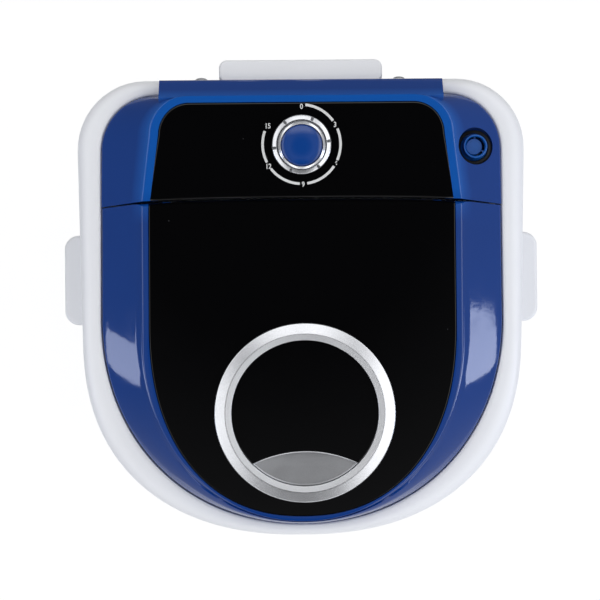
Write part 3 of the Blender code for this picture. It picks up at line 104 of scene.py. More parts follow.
class WasherBodySizes(bpy.types.PropertyGroup):
    """Outlines and heights of the body"""
    blue_half: length("Blue half width", "Half width of the blue lid and console", 0.1540)
    blue_start: length("Straight side", "How far in front of the origin the round front starts",
                       0.0154)
    blue_front: length("Blue front", "Reach of the blue lid to the front", 0.1739)
    blue_rear: length("Blue rear", "Reach of the blue console to the back", 0.1547)
    blue_corner: length("Blue corner", "Corner radius at the back of the console", 0.039)
    side_band: length("Side band", "Width of the white band beside the lid", 0.0166)
    front_band: length("Front band", "Width of the white band before the lid", 0.0110)
    rear_band: length("Rear band", "Width of the white band behind the console", 0.0133)
    casing_corner: length("Casing corner", "Corner radius at the back of the casing", 0.0530)
    wall: length("Wall", "Wall thickness of the casing", 0.0025)
    rim_height: length("Rim height", "Height of the casing's rim at the plan's origin", 0.462)
    deck_slope: bpy.props.FloatProperty(name="Deck slope", default=math.radians(8.5),
                                        description="Slope of the deck to the front",
                                        unit="ROTATION", subtype="ANGLE")
    lid_gap: length("Lid gap", "Gap between the casing's lip and the lid", 0.0009)
    rear_taper: bpy.props.FloatProperty(name="Rear taper", description="How the blue parts narrow",
                                        default=0.27)


class WasherLidSizes(bpy.types.PropertyGroup):
    """Sizes of the lid and its trim"""
    height: length("Panel height", "Height of the black panels over the rim", 0.024)
    panel: length("Panel thickness", "Thickness of the black panels", 0.0023)
    side_slope: length("Side slope", "Width of the blue slope at the sides", 0.0320)
    front_slope: length("Front slope", "Width of the blue slope at the front", 0.0042)
    side_flat: length("Side flat", "Width of the blue band between crease and panel", 0.0057)
    front_flat: length("Front flat", "Width of that band at the front", 0.0042)
    split_y: length("Split line", "Where the lid meets the console", 0.0770)
    split_sweep: length("Split sweep", "How far that line sweeps forward at the sides", 0.0045)
    split_gap: length("Split gap", "Gap between the lid and the console", 0.0015)
    hinge_setback: length("Hinge setback", "From the split line forward to the hinge pin", 0.0120)
    ring_outer: length("Ring radius", "Outer radius of the trim ring", 0.0690)
    ring_x: length("Ring offset", "Distance of the ring's middle from the middle", 0.0011)
    ring_y: length("Ring place", "Distance of the ring's middle in front of the origin", 0.0858)
    outer_bevel: length("Outer bevel", "Width of the ring's outer bevel", 0.0083)
    inner_bevel: length("Inner bevel", "Width of the ring's inner bevel", 0.0045)
    ring_height: length("Ring height", "Height of the ring over the panel", 0.0034)
    scoop_depth: length("Scoop depth", "Depth of the finger scoop", 0.0125)


class WasherControlSizes(bpy.types.PropertyGroup):
    """Sizes of the knob, the dial and the water inlet"""
    knob_y: length("Knob place", "Distance of the knob behind the origin", 0.1166)
    skirt_radius: length("Skirt radius", "Radius of the knob's notched skirt", 0.0220)
    knob_radius: length("Knob radius", "Outer radius of the knob's bright ring", 0.0175)
    knob_height: length("Knob height", "Height of the knob over the panel", 0.0150)
    dial_radius: length("Dial radius", "Middle radius of the printed arcs", 0.0290)
    dial_line: length("Dial line", "Width of the printed arcs", 0.0019)
    digit_height: length("Digit height", "Height of the printed numbers", 0.0037)
    inlet_x: length("Inlet across", "Distance of the inlet from the middle", 0.1310)
    inlet_y: length("Inlet back", "Distance of the inlet behind the origin", 0.1153)
    well_radius: length("Well radius", "Radius of the well round the inlet", 0.0138)
    spigot_radius: length("Spigot radius", "Outer radius of the inlet tube", 0.00865)
    spigot_bore: length("Spigot bore", "Inner radius of the inlet tube", 0.0073)


class WasherFittingSizes(bpy.types.PropertyGroup):
    """Sizes of the handles, the hook, the rear cover and the tub"""
    handle_y: length("Handle place", "Middle of the handles behind the origin", 0.018)
    handle_length: length("Handle length", "Length of a handle", 0.071)
    handle_reach: length("Handle reach", "How far a handle stands out", 0.0166)
    handle_low: length("Handle underside", "Height of a handle's lower edge", 0.398)
    handle_height: length("Handle height", "Height of a handle", 0.026)
    hook_y: length("Hook place", "Distance of the hose hook behind the origin", 0.1095)
    cover_half: length("Cover half width", "Half width of the rear cover", 0.0614)
    cover_reach: length("Cover reach", "How far the rear cover stands out", 0.0137)
    tub_radius: length("Tub radius", "Outer radius of the wash tub", 0.1455)
    tub_y: length("Tub place", "Distance of the tub's axis in front of the origin", 0.0120)
    pulsator_radius: length("Pulsator radius", "Radius of the pulsator", 0.0860)


class WasherColours(bpy.types.PropertyGroup):
    """Colours of the finishes"""
    shell: colour("Shell", "White of the casing, the handles and the rear cover", "eff0f3")
    blue: colour("Blue", "Blue of the lid, the console and the inlet", "0c3880")
    panel: colour("Panel", "Black of the glossy panels", "050506")
    trim: colour("Trim", "Silver of the ring and the scoop", "d4d5d8")
    tub: colour("Tub", "Pale blue white of the tub", "dfe6ee")
    fittings: colour("Fittings", "Grey of the base and the hidden ducts", "8c8f94")


def settings():
    scene = bpy.context.scene
    return scene.washer_body, scene.washer_lid, scene.washer_control, scene.washer_fitting


def plan_shift():
    """How far the frame lies behind the plan, from the casing's front edge."""
    body = bpy.context.scene.washer_body
    return CASING_LOW.y + body.blue_front + body.front_band


def deck_z(y, w):
    """Height of the point at plan y on the plane that lies w above the rim, square to the deck."""
    body = bpy.context.scene.washer_body
    return body.rim_height + (w + y * math.sin(body.deck_slope)) / math.cos(body.deck_slope)


def on_deck(outline, w):
    shift = plan_shift()
    return [Vector((x, y + shift, deck_z(y, w))) for x, y in outline]


def level(outline, z):
    shift = plan_shift()
    return [Vector((x, y + shift, z)) for x, y in outline]


def flat(outline, z):
    return [Vector((x, y, z)) for x, y in outline]


def stack(shape, steps, lay=on_deck):
    """Rings of a shape: what the shape is asked for, and the height, of each ring."""
    return [lay(shape(value), height) for value, height in steps]


def drawn_in(points):
    """Draws the outline of the blue parts in towards the back, where they are narrower."""
    taper = bpy.context.scene.washer_body.rear_taper
    return [(x * (1 - taper * max(0, y + 0.0106) ** 1.2), y) for x, y in points]


def mix(first, second, share):
    return [(a[0] + (b[0] - a[0]) * share, a[1] + (b[1] - a[1]) * share)
            for a, b in zip(first, second)]


def middle(node):
    return [(a + b) / 2 for a, b in zip(*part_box(node))]


def placed(spot, angle=0.0, axis="X"):
    """The matrix that turns a piece about an axis and sets it on a spot."""
    return Matrix.Translation(spot) @ Matrix.Rotation(angle, 4, axis)


# Outlines in plan. Their fronts are superellipses, each with a power of its own.

CASING_POWER, BLUE_POWER, CREASE_POWER, PANEL_POWER = 2.32, 2.13, 2.05, 2.25
FRONT_STEPS = 96
SPLIT_STEPS = 32
ROUND_STEPS = 96


def front_curve(half, front, start, power):
    """The round front of an outline, from its left side to its right side."""
    points = []
    for k in range(FRONT_STEPS + 1):
        angle = math.pi * k / FRONT_STEPS
        across = -math.copysign(abs(math.cos(angle)) ** (2 / power), math.cos(angle))
        along = max(math.sin(angle), 0) ** (2 / power)
        points.append((half * across, -start - (front - start) * along))
    return points


def corner_arc(x, y, radius, first, last, steps=12):
    angles = [first + (last - first) * k / steps for k in range(steps + 1)]
    return [(x + radius * math.cos(a), y + radius * math.sin(a)) for a in angles]


def rounded_back(half, rear, corner):
    return (corner_arc(half - corner, rear - corner, corner, 0, QUARTER)
            + corner_arc(corner - half, rear - corner, corner, QUARTER, math.pi))


def casing_outline(inset):
    body = bpy.context.scene.washer_body
    half = body.blue_half + body.side_band - inset
    front = body.blue_front + body.front_band - inset
    rear = body.blue_rear + body.rear_band - inset
    return (front_curve(half, front, 2 * body.blue_start, CASING_POWER)
            + rounded_back(half, rear, body.casing_corner - inset / 2))


def lip_outline(grown):
    body = bpy.context.scene.washer_body
    half, front, rear, corner = (size + grown for size in (
        body.blue_half, body.blue_front, body.blue_rear, body.blue_corner))
    return drawn_in(front_curve(half, front, body.blue_start, BLUE_POWER)
                    + rounded_back(half, rear, corner))


def hinge_line():
    """Where the hinge pins lie: their plan y, and their w over the rim."""
    lid = bpy.context.scene.washer_lid
    return (lid.split_y - lid.split_gap / 2 - lid.hinge_setback,
            lid.height - lid.panel - PIN_DROP)


def split_at(x):
    """How far the line between the lid and the console sweeps forward at x."""
    body, lid = settings()[:2]
    return lid.split_sweep * (abs(x) / body.blue_half) ** 3


def lid_end_inset(w, x):
    """How far the lid's rear edge lies before the split line, to swing clear of the console."""
    body, lid = settings()[:2]
    back = lid.hinge_setback - split_at(x)
    swing = back + lid.split_gap - 0.0006
    slope = math.tan(body.deck_slope)
    rise = (w - hinge_line()[1]) / math.cos(body.deck_slope)
    if rise + slope * back < 0:
        return 0
    a = 1 + slope ** 2
    b = rise * slope
    c = rise ** 2 - swing ** 2
    return max(0, back - (-b + math.sqrt(b * b - a * c)) / a)


def lid_outline(curve, back_off=0, w=None):
    """Outline of the lid: round front, back edge along the split line, clear of the swing at w."""
    lid = bpy.context.scene.washer_lid
    end = lid.split_y - lid.split_gap / 2
    points = front_curve(*curve)
    for k in range(SPLIT_STEPS + 1):
        x = curve[0] * (1 - 2 * k / SPLIT_STEPS)
        inset = back_off if w is None else lid_end_inset(w, x)
        points.append((x, end - split_at(x) - inset))
    return drawn_in(points)


def console_outline(half, half_rear, rear, corner, front_off):
    """Outline of the console: front edge along the split line, rounded back corners."""
    lid = bpy.context.scene.washer_lid
    end = lid.split_y + lid.split_gap / 2
    across = [half * (2 * k / SPLIT_STEPS - 1) for k in range(SPLIT_STEPS + 1)]
    front = [(x, end - split_at(x) + front_off) for x in across]
    return drawn_in(front + rounded_back(half_rear, rear, corner))


def circle(radius, x=0.0, y=0.0, steps=ROUND_STEPS):
    angles = [2 * math.pi * k / steps for k in range(steps)]
    return [(x + radius * math.cos(a), y + radius * math.sin(a)) for a in angles]


# Modelling helpers

def pick(*pieces):
    """Selects the given pieces and nothing else, the first one active."""
    if bpy.context.mode != "OBJECT":
        bpy.ops.object.mode_set(mode="OBJECT")
    bpy.ops.object.select_all(action="DESELECT")
    for piece in pieces:
        piece.select_set(True)
    if pieces:
        bpy.context.view_layer.objects.active = pieces[0]


def lay_ring(piece, ring, row):
    """Lays the selected edge loop on a ring, each point by its number in the first one."""
    rough = bmesh.from_edit_mesh(piece.data)
    order = rough.verts.layers.int.get("order") or rough.verts.layers.int.new("order")
    rows = rough.verts.layers.int.get("row") or rough.verts.layers.int.new("row")
    if row == 0:
        for k, vert in enumerate(rough.verts):
            vert[order] = k
    for vert in rough.verts:
        if vert.select:
            vert[rows] = row
            vert.co = ring[vert[order]]
    bmesh.update_edit_mesh(piece.data)


def close_end(piece, row):
    """Fills the first or the last ring of a skin with one face."""
    bpy.ops.mesh.select_all(action="DESELECT")
    rough = bmesh.from_edit_mesh(piece.data)
    rows = rough.verts.layers.int.get("row")
    for vert in rough.verts:
        vert.select = vert[rows] == row
    rough.select_flush(True)
    for edge in rough.edges:
        edge.select = edge.verts[0][rows] == row and edge.verts[1][rows] == row
    bmesh.update_edit_mesh(piece.data)
    bpy.ops.mesh.edge_face_add()


def skin(name, rings, ends="closed"):
    """Models a shell as by hand: a circle laid on the first ring and extruded from ring to ring.

    The ends are closed by a face, joined to each other as a loop, or gathered to one point.
    """
    pick()
    bpy.ops.mesh.primitive_circle_add(vertices=len(rings[0]), radius=0.1)
    piece = bpy.context.object
    piece.name = name
    bpy.ops.object.mode_set(mode="EDIT")
    bpy.ops.mesh.select_mode(type="VERT")
    bpy.ops.mesh.select_all(action="SELECT")
    lay_ring(piece, rings[0], 0)
    loop = rings[1:] + rings[:1] if ends == "loop" else rings[1:]
    for row, ring in enumerate(loop, start=1):
        bpy.ops.mesh.extrude_edges_move()
        lay_ring(piece, ring, row)
    if ends == "closed":
        close_end(piece, 0)
        close_end(piece, len(loop))
    bpy.ops.mesh.select_all(action="SELECT")
    bpy.ops.mesh.remove_doubles(threshold=0.000002)
    bpy.ops.mesh.select_all(action="SELECT")
    bpy.ops.mesh.normals_make_consistent(inside=False)
    bpy.ops.object.mode_set(mode="OBJECT")
    return piece


def set_in_place(piece, place):
    """Puts the piece where a matrix says, and keeps that place in its mesh."""
    piece.data.transform(place)
    return piece


def turned(name, profile, steps=ROUND_STEPS, ends="loop", place=None):
    """A turned piece: rings of circles along a profile of (radius, height), set in place."""
    rings = [[Vector((*spot, height)) for spot in circle(max(radius, 0.000001), steps=steps)]
             for radius, height in profile]
    return set_in_place(skin(name, rings, ends), place or Matrix())


def rod(radius, low, high, steps, place=None):
    """A round piece of work, to cut or join with."""
    return turned("rod", [(radius, low), (radius, high)], steps, "closed", place)


def prism(outline, low, high, lay=on_deck):
    """A piece of work between two heights, to cut or join with."""
    return skin("prism", [lay(outline, low), lay(outline, high)])


def beam(profile, start, end):
    """A piece of work with a profile of (y, z), drawn from one x to another."""
    shift = plan_shift()
    return skin("beam", [[Vector((x, y + shift, z)) for y, z in profile] for x in (start, end)])


def copied(piece, name, place):
    copy = piece.copy()
    copy.data = piece.data.copy()
    copy.name = name
    bpy.context.collection.objects.link(copy)
    return set_in_place(copy, place)


def apply_step(piece, step):
    pick(piece)
    bpy.ops.object.modifier_apply(modifier=step.name)


def combine(piece, tool, operation):
    """Cuts or joins another piece, which is used up."""
    step = piece.modifiers.new("combine", "BOOLEAN")
    step.operation = operation
    step.solver = "EXACT"
    step.object = tool
    apply_step(piece, step)
    bpy.data.objects.remove(tool)


def cut(piece, tool):
    combine(piece, tool, "DIFFERENCE")


def join(piece, tool):
    combine(piece, tool, "UNION")


def eased(piece, width, segments, angle=40):
    """Rounds the edges that turn by more than an angle, and shades the rest smooth."""
    step = piece.modifiers.new("round the edges", "BEVEL")
    step.width = width
    step.segments = segments
    step.limit_method = "ANGLE"
    step.angle_limit = math.radians(angle)
    apply_step(piece, step)
    return smooth(piece)


def smooth(piece, angle=35):
    """Shades the faces smooth, with the large faces setting how the light turns over the small."""
    pick(piece)
    bpy.ops.object.shade_smooth_by_angle(angle=math.radians(angle))
    if "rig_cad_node" not in piece:
        step = piece.modifiers.new("even shading", "WEIGHTED_NORMAL")
        step.keep_sharp = True
        apply_step(piece, step)
    pick()
    return piece


def finished(piece, kind, body, *nodes):
    """Gives the piece its finish, hangs it on its body and takes the place of its solids."""
    dress(piece, kind)
    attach(piece, body)
    if nodes:
        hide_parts(*nodes)


def dress(piece, kind):
    piece.data.materials.clear()
    piece.data.materials.append(finish(kind))


# Finishes: each starts from the real material and from how its surface was made

def add_node(tree, kind, values=None, links=None, **options):
    """Adds a node with its options, its socket values and the outputs that feed it."""
    made = tree.nodes.new(kind)
    for name, value in options.items():
        setattr(made, name, value)
    for socket, value in (values or {}).items():
        made.inputs[socket].default_value = value
    for socket, output in (links or {}).items():
        tree.links.new(output, made.inputs[socket])
    return made


def sorted_out(given, linked):
    """What is given to a node's sockets: only the outputs to link, or only the plain values."""
    return {socket: value for socket, value in given.items()
            if isinstance(value, bpy.types.NodeSocket) == linked}


def worked(tree, operation, first, second):
    """One step of arithmetic on two outputs or numbers."""
    given = {0: first, 1: second}
    return add_node(tree, "ShaderNodeMath", sorted_out(given, False), sorted_out(given, True),
                    operation=operation).outputs[0]


def remap(tree, source, low, high, to_low, to_high):
    return add_node(tree, "ShaderNodeMapRange",
                    {"From Min": low, "From Max": high, "To Min": to_low, "To Max": to_high},
                    {"Value": source}).outputs["Result"]


class Finish:
    """A material with one shader, on the coordinates of the piece in metres."""

    def __init__(self, name, base, roughness, metallic=0.0, ior=None):
        self.material = bpy.data.materials.new(name)
        self.material.use_nodes = True
        self.tree = self.material.node_tree
        self.inputs = self.tree.nodes["Principled BSDF"].inputs
        self.inputs["Base Color"].default_value = (*base, 1)
        self.inputs["Roughness"].default_value = roughness
        self.inputs["Metallic"].default_value = metallic
        if ior:
            self.inputs["IOR"].default_value = ior
        self.material.diffuse_color = (*base, 1)
        self.place = add_node(self.tree, "ShaderNodeTexCoord").outputs["Object"]

    def noise(self, size, detail=2.0, **more):
        """Noise whose lumps are about a size in metres."""
        return add_node(self.tree, "ShaderNodeTexNoise",
                        {"Scale": 1 / size, "Detail": detail, **more},
                        {"Vector": self.place}).outputs["Fac"]

    def cells(self, size, **options):
        """Cells of a size in metres: how far each point is from the middle, and a random colour."""
        made = add_node(self.tree, "ShaderNodeTexVoronoi", {"Scale": 1 / size},
                        {"Vector": self.place}, **options)
        return made.outputs["Distance"], add_node(
            self.tree, "ShaderNodeSeparateColor", links={"Color": made.outputs["Color"]}).outputs

    def colour(self, share, first, second):
        """Blends two colours, or a blend and a colour, into the base colour."""
        given = {6: first, 7: second}
        values = {socket: (*value, 1) for socket, value in sorted_out(given, False).items()}
        blend = add_node(self.tree, "ShaderNodeMix", values,
                         {"Factor": share, **sorted_out(given, True)},
                         data_type="RGBA").outputs[2]
        self.tree.links.new(blend, self.inputs["Base Color"])
        return blend

    def sheen(self, source, low, high, smoothest, roughest):
        """Lets the roughness follow a pattern."""
        self.tree.links.new(remap(self.tree, source, low, high, smoothest, roughest),
                            self.inputs["Roughness"])

    def relief(self, height, depth, under=None):
        """Relief of a real depth in metres, over another relief where one is given."""
        links = {"Height": height, **({"Normal": under} if under else {})}
        made = add_node(self.tree, "ShaderNodeBump", {"Distance": depth, "Strength": 1.0}, links)
        self.tree.links.new(made.outputs["Normal"], self.inputs["Normal"])
        return made.outputs["Normal"]


def shade(base, factor):
    return [min(1, c * factor) for c in base]


def moulded(name, base, roughness, spread, grain, depth, cloud=0.05):
    """Moulded plastic: the tool's grain, flow clouds in its colour, and handling in its sheen."""
    made = Finish(name, base, roughness)
    made.colour(made.noise(cloud, 3), shade(base, 0.96), shade(base, 1.03))
    made.sheen(made.noise(0.021, 4), 0.3, 0.7, roughness - spread, roughness + spread)
    made.relief(made.noise(grain), depth)
    return made


def glossy_blue(name, base, rim=None):
    # ABS, moulded in a polished tool: deep glossy blue, slightly wavy like orange peel at 6 mm.
    # Painted light: the console's flat rim, 22 mm over the deck, is painted a brighter blue than
    # the slopes, standing in for how the light falls on it.
    made = Finish(name, base, 0.06, ior=1.53)
    clouded = made.colour(made.noise(0.08), shade(base, 0.93), shade(base, 1.06))
    if rim:
        # painted light: the brighter blue is mixed in where the surface lies high and far back, on
        # the console's rim
        upright = add_node(made.tree, "ShaderNodeVectorMath", {1: Vector((0, -0.148, 0.989))},
                           {0: made.place}, operation="DOT_PRODUCT").outputs["Value"]
        back = add_node(made.tree, "ShaderNodeSeparateXYZ", links={0: made.place}).outputs["Y"]
        share = worked(made.tree, "MULTIPLY", remap(made.tree, upright, 0.474, 0.480, 0, 1),
                       remap(made.tree, back, 0.060, 0.085, 0, 1))
        made.colour(share, clouded, rim)
    made.sheen(made.noise(0.016, 5), 0.35, 0.75, 0.04, 0.09)
    peel = made.relief(made.noise(0.006, 1), 0.00002)
    made.relief(made.noise(0.0012), 0.000003, under=peel)
    return made


def polished_panel(base):
    # Black acrylic, cast and polished: a mirror with a few specks of dust and faint wiping marks.
    # The specks are about 0.5 mm wide, one in every few squares of 14 mm.
    made = Finish("Black polished acrylic", base, 0.05, ior=1.49)
    distance, random = made.cells(0.014)
    specks = worked(made.tree, "MULTIPLY", remap(made.tree, distance, 0.012, 0.030, 1, 0),
                    remap(made.tree, random["Red"], 0.80, 0.82, 0, 1))
    made.colour(specks, base, linear("3c3c3e"))
    hazy = remap(made.tree, made.noise(0.045, 4, Distortion=0.6), 0.45, 0.75, 0.03, 0.09)
    made.tree.links.new(worked(made.tree, "ADD", hazy, specks), made.inputs["Roughness"])
    made.relief(made.noise(0.030, 1), 0.00003)
    return made


def silver_lacquer(name, base, roughness):
    # ABS under a silver lacquer: metal flakes in it give a soft sheen with a fine sparkle.
    # The flakes are about 0.03 mm, drawn at 0.5 mm so that they show.
    made = Finish(name, base, roughness, 0.88)
    glint = made.cells(0.0005)[1]
    made.colour(glint["Green"], shade(base, 0.96), shade(base, 1.04))
    made.sheen(made.noise(0.02, 3), 0.3, 0.7, roughness - 0.02, roughness + 0.03)
    made.relief(glint["Red"], 0.0000015)
    return made


def moulded_rubber(base):
    # Moulded rubber, filled with carbon black: matt, with a faint grey bloom in patches.
    made = Finish("Black moulded rubber", base, 0.75)
    bloom = made.noise(0.012, 5)
    made.colour(remap(made.tree, bloom, 0.45, 0.75, 0, 1), base, linear("343435"))
    made.sheen(bloom, 0.3, 0.7, 0.65, 0.85)
    made.relief(made.noise(0.0015, 3), 0.00004)
    return made


def plated_steel(base):
    # Turned and zinc-plated steel: bright, with fine marks of the tool about 0.3 mm apart.
    made = Finish("Plated steel", base, 0.30, 1.0)
    marks = add_node(made.tree, "ShaderNodeTexWave", {"Scale": 1 / 0.0012, "Distortion": 2.0},
                     {"Vector": made.place}, wave_type="BANDS", bands_direction="Z").outputs["Fac"]
    made.sheen(marks, 0, 1, 0.24, 0.38)
    made.colour(made.noise(0.008, 4), shade(base, 0.85), shade(base, 1.05))
    made.relief(marks, 0.000006)
    return made


def zinc_coat(base):
    # Hot-dip zinc on pressed sheet: dull grey with crystals 5 to 10 mm wide.
    made = Finish("Zinc-coated sheet", base, 0.45, 1.0)
    tone = made.cells(0.008)[1]
    made.colour(tone["Red"], shade(base, 0.78), shade(base, 1.10))
    made.sheen(tone["Green"], 0, 1, 0.36, 0.55)
    made.relief(made.noise(0.002), 0.00001)
    return made


def stoved_enamel(base):
    # Stoved enamel on the motor's cast case: black, with a fine hammered skin 2 mm across.
    made = Finish("Black stoved enamel", base, 0.45)
    made.relief(made.cells(0.002, feature="SMOOTH_F1")[0], 0.00008)
    made.colour(remap(made.tree, made.noise(0.02, 5), 0.5, 0.8, 0, 1), base, linear("55544f"))
    return made


def screen_print(base):
    # White screen print: a thin matt film, its edge and cover slightly uneven at 1 mm.
    made = Finish("White screen print", base, 0.55)
    cover = made.noise(0.001, 3)
    made.colour(cover, shade(base, 0.86), base)
    made.relief(cover, 0.00001)
    return made


MAKERS = {
    # ABS, injection moulded in a spark-eroded tool: a satin white with a fine dull grain.
    # The real grain is about 0.2 mm wide, drawn at 0.9 mm so that it shows.
    "shell": lambda user: moulded("White satin ABS", user.shell, 0.42, 0.05, 0.0009, 0.000025,
                                  0.09),
    # The second blue, 1554a6, is painted light on the console's rim
    "blue": lambda user: glossy_blue("Blue gloss ABS", user.blue, linear("1554a6")),
    # The same blue gloss ABS, set a little brighter on the inlet and a little deeper on the cap
    "bright blue": lambda user: glossy_blue("Bright blue gloss ABS", linear("1556a4")),
    "cap blue": lambda user: glossy_blue("Blue gloss cap", linear("12408a")),
    "panel": lambda user: polished_panel(user.panel),
    "trim": lambda user: silver_lacquer("Silver lacquered ABS", user.trim, 0.25),
    # The lacquer over a finely grained tool, dull on the scoop and duller on the ring's bezel
    "satin": lambda user: silver_lacquer("Satin lacquered ABS", linear("c8c9cc"), 0.29),
    "pale satin": lambda user: silver_lacquer("Pale satin lacquered ABS", linear("ebecee"), 0.44),
    # ABS with a thin metal plating on the knob's ring: smoother and brighter than the lacquer
    "bright trim": lambda user: silver_lacquer("Bright plated ABS", linear("f0f1f4"), 0.16),
    # Polypropylene, moulded: waxy and pale, with a soft sheen and a smooth skin
    "tub": lambda user: moulded("Waxy polypropylene", user.tub, 0.34, 0.06, 0.0015, 0.00001),
    # ABS with recycled content: mid grey and dull, with a coarser grain of 1 mm
    "fittings": lambda user: moulded("Grey moulded ABS", user.fittings, 0.52, 0.06, 0.0010,
                                     0.00004),
    # Nylon case parts, moulded: cream and dull
    "cream": lambda user: moulded("Cream nylon", linear("d8d2bf"), 0.50, 0.05, 0.0010, 0.00002),
    "rubber": lambda user: moulded_rubber(linear("1b1b1c")),
    "steel": lambda user: plated_steel(linear("b9bbbe")),
    "zinc": lambda user: zinc_coat(linear("a3a6aa")),
    "enamel": lambda user: stoved_enamel(linear("2a2b2d")),
    "ink": lambda user: screen_print(linear("e4e4e2")),
}

FINISHES = {}


def finish(kind):
    """The finish of a kind, made once and kept for the other pieces."""
    if kind not in FINISHES:
        FINISHES[kind] = MAKERS[kind](bpy.context.scene.washer_colours).material
    return FINISHES[kind]


# Pieces, each by an operator of its own

class WASHER_OT_casing(bpy.types.Operator):
    """Builds the white casing: a tapered foot, a rounded shoulder, a lip and a ledge"""
    bl_idname = "washer.casing"
    bl_label = "Casing"

    def execute(self, context):
        body = context.scene.washer_body
        outer, inner = casing_outline(0), casing_outline(body.wall)
        lip, grown, ledge = (lip_outline(body.lid_gap + more) for more in (0, body.wall, -0.0055))
        rings = [level(casing_outline(TOE), CASING_LOW.z)]
        for share in (0.5, 1.0):
            rings.append(level(casing_outline(TOE * (1 - share) ** 1.5), 0.015 + 0.045 * share))
        rings += [level(outer, 0.20), on_deck(outer, -0.060), on_deck(outer, -0.024)]
        for k in range(9):
            turn = k / 8 * QUARTER
            rings.append(on_deck(mix(outer, lip, (1 - math.cos(turn)) * 0.62),
                                 -0.010 * (1 - math.sin(turn))))
        rings += stack(list, (
            (mix(outer, lip, 0.80), 0), (mix(outer, lip, 0.90), -0.0003),
            (mix(outer, lip, 0.97), -0.0010), (lip, -0.0021), (lip, -0.0100), (ledge, -0.0100),
            (ledge, -0.0125), (grown, -0.0125), (grown, -0.0050), (inner, -0.0140),
            (inner, -0.060)))
        rings += [level(inner, 0.060), level(casing_outline(TOE + body.wall), CASING_LOW.z)]
        casing = skin("white_casing", rings, "loop")
        for node, radius in (("drain_outlet", 0.0138), ("cord_gland", 0.0083)):
            x, y, z = middle(node)
            cut(casing, rod(radius, -0.01, 0.01, 32, placed((x, CASING_HIGH.y, z), QUARTER)))
        finished(smooth(casing), "shell", "cabinet", "outer_casing")
        return {"FINISHED"}


def console_rings(inset):
    """Outlines of the console's outside, from its skirt up to its flat top."""
    body, lid = settings()[:2]
    half, rear = body.blue_half - inset, body.blue_rear - inset
    crease = half - lid.side_slope
    return (console_outline(half, half, rear, body.blue_corner - inset, inset),
            console_outline(crease, crease - 0.0055, rear - 0.0020, 0.028 - inset / 2, inset))


class WASHER_OT_console(bpy.types.Operator):
    """Builds the blue console: its slopes, its rear skirt, the panel's recess and the inlet well"""
    bl_idname = "washer.console"
    bl_label = "Console"

    def execute(self, context):
        body, lid, control = settings()[:3]
        height, rear = lid.height, body.blue_rear
        rise = height - 0.0026
        skirt_line, crest = console_rings(-0.0006)[0], console_rings(0)[1]
        console = skin("blue_console", stack(lambda share: mix(skirt_line, crest, share), (
            (0, -0.0069), (0, 0.0006), (0.012, 0.0014), (0.05, 0.0014 + rise * 0.05),
            (0.93, 0.0014 + rise * 0.93), (0.975, height - 0.0010), (1.012, height - 0.0003),
            (1.045, height))))
        edge = rear + body.rear_band - 0.0006
        skirt = [(rear - 0.0064, 0.0012), (rear - 0.0064, 0.0190), (rear - 0.0030, 0.0226),
                 (rear + 0.0004, 0.0197), (edge - 0.0034, 0.0126), (edge - 0.0019, 0.0108),
                 (edge - 0.0013, 0.0088), (edge - 0.0006, 0.0012)]
        half = body.blue_half - 0.0482
        join(console, beam([(y, deck_z(y, w)) for y, w in skirt], -half, half))
        blue_in, crest_in = console_rings(body.wall)
        hollow = skin("hollow", stack(list, (
            (blue_in, UNDER), (blue_in, 0.0002), (crest_in, height - 0.0050))))
        inlet = (control.inlet_x, control.inlet_y)
        cut(hollow, prism(circle(control.well_radius + 0.002, *inlet), 0.44, 0.53, level))
        cut(console, hollow)
        seat = height - lid.panel - FIT
        recess = self.panel_outline(FIT)
        front = [(x, y - 0.01) for x, y in recess[:SPLIT_STEPS + 1]]
        neck = circle(0.0056, 0, control.knob_y)
        for outline, low, high in ((front + recess[SPLIT_STEPS + 1:], seat, OVER),
                                   (circle(control.well_radius, *inlet), 0.0008, OVER),
                                   (circle(control.spigot_radius + FIT, *inlet), UNDER, 0.01),
                                   (neck, 0.01, 0.03)):
            cut(console, prism(outline, low, high))
        finished(eased(console, 0.0006, 2), "blue", "cabinet", "console_housing")

        panel = skin("black_control_panel", stack(self.panel_outline, (
            (0, seat + FIT), (0, height - 0.0008), (-0.0002, height - 0.0004),
            (-0.0006, height - 0.0001), (-0.0012, height))))
        brow = recess[1:SPLIT_STEPS]
        brow = [(x, y - 0.0001) for x, y in brow] + [(x, y + 0.0010) for x, y in reversed(brow)]
        join(panel, prism(brow, 0.0040, seat + 0.0008))
        cut(panel, prism(neck, 0.01, OVER))
        finished(smooth(panel), "panel", "cabinet", "control_panel")
        return {"FINISHED"}

    @staticmethod
    def panel_outline(grown):
        body, lid = settings()[:2]
        crease = body.blue_half - lid.side_slope
        return console_outline(crease - lid.side_flat + grown, crease - 0.0130 + grown,
                               body.blue_rear - 0.0073 + grown, 0.023 + grown, -grown)


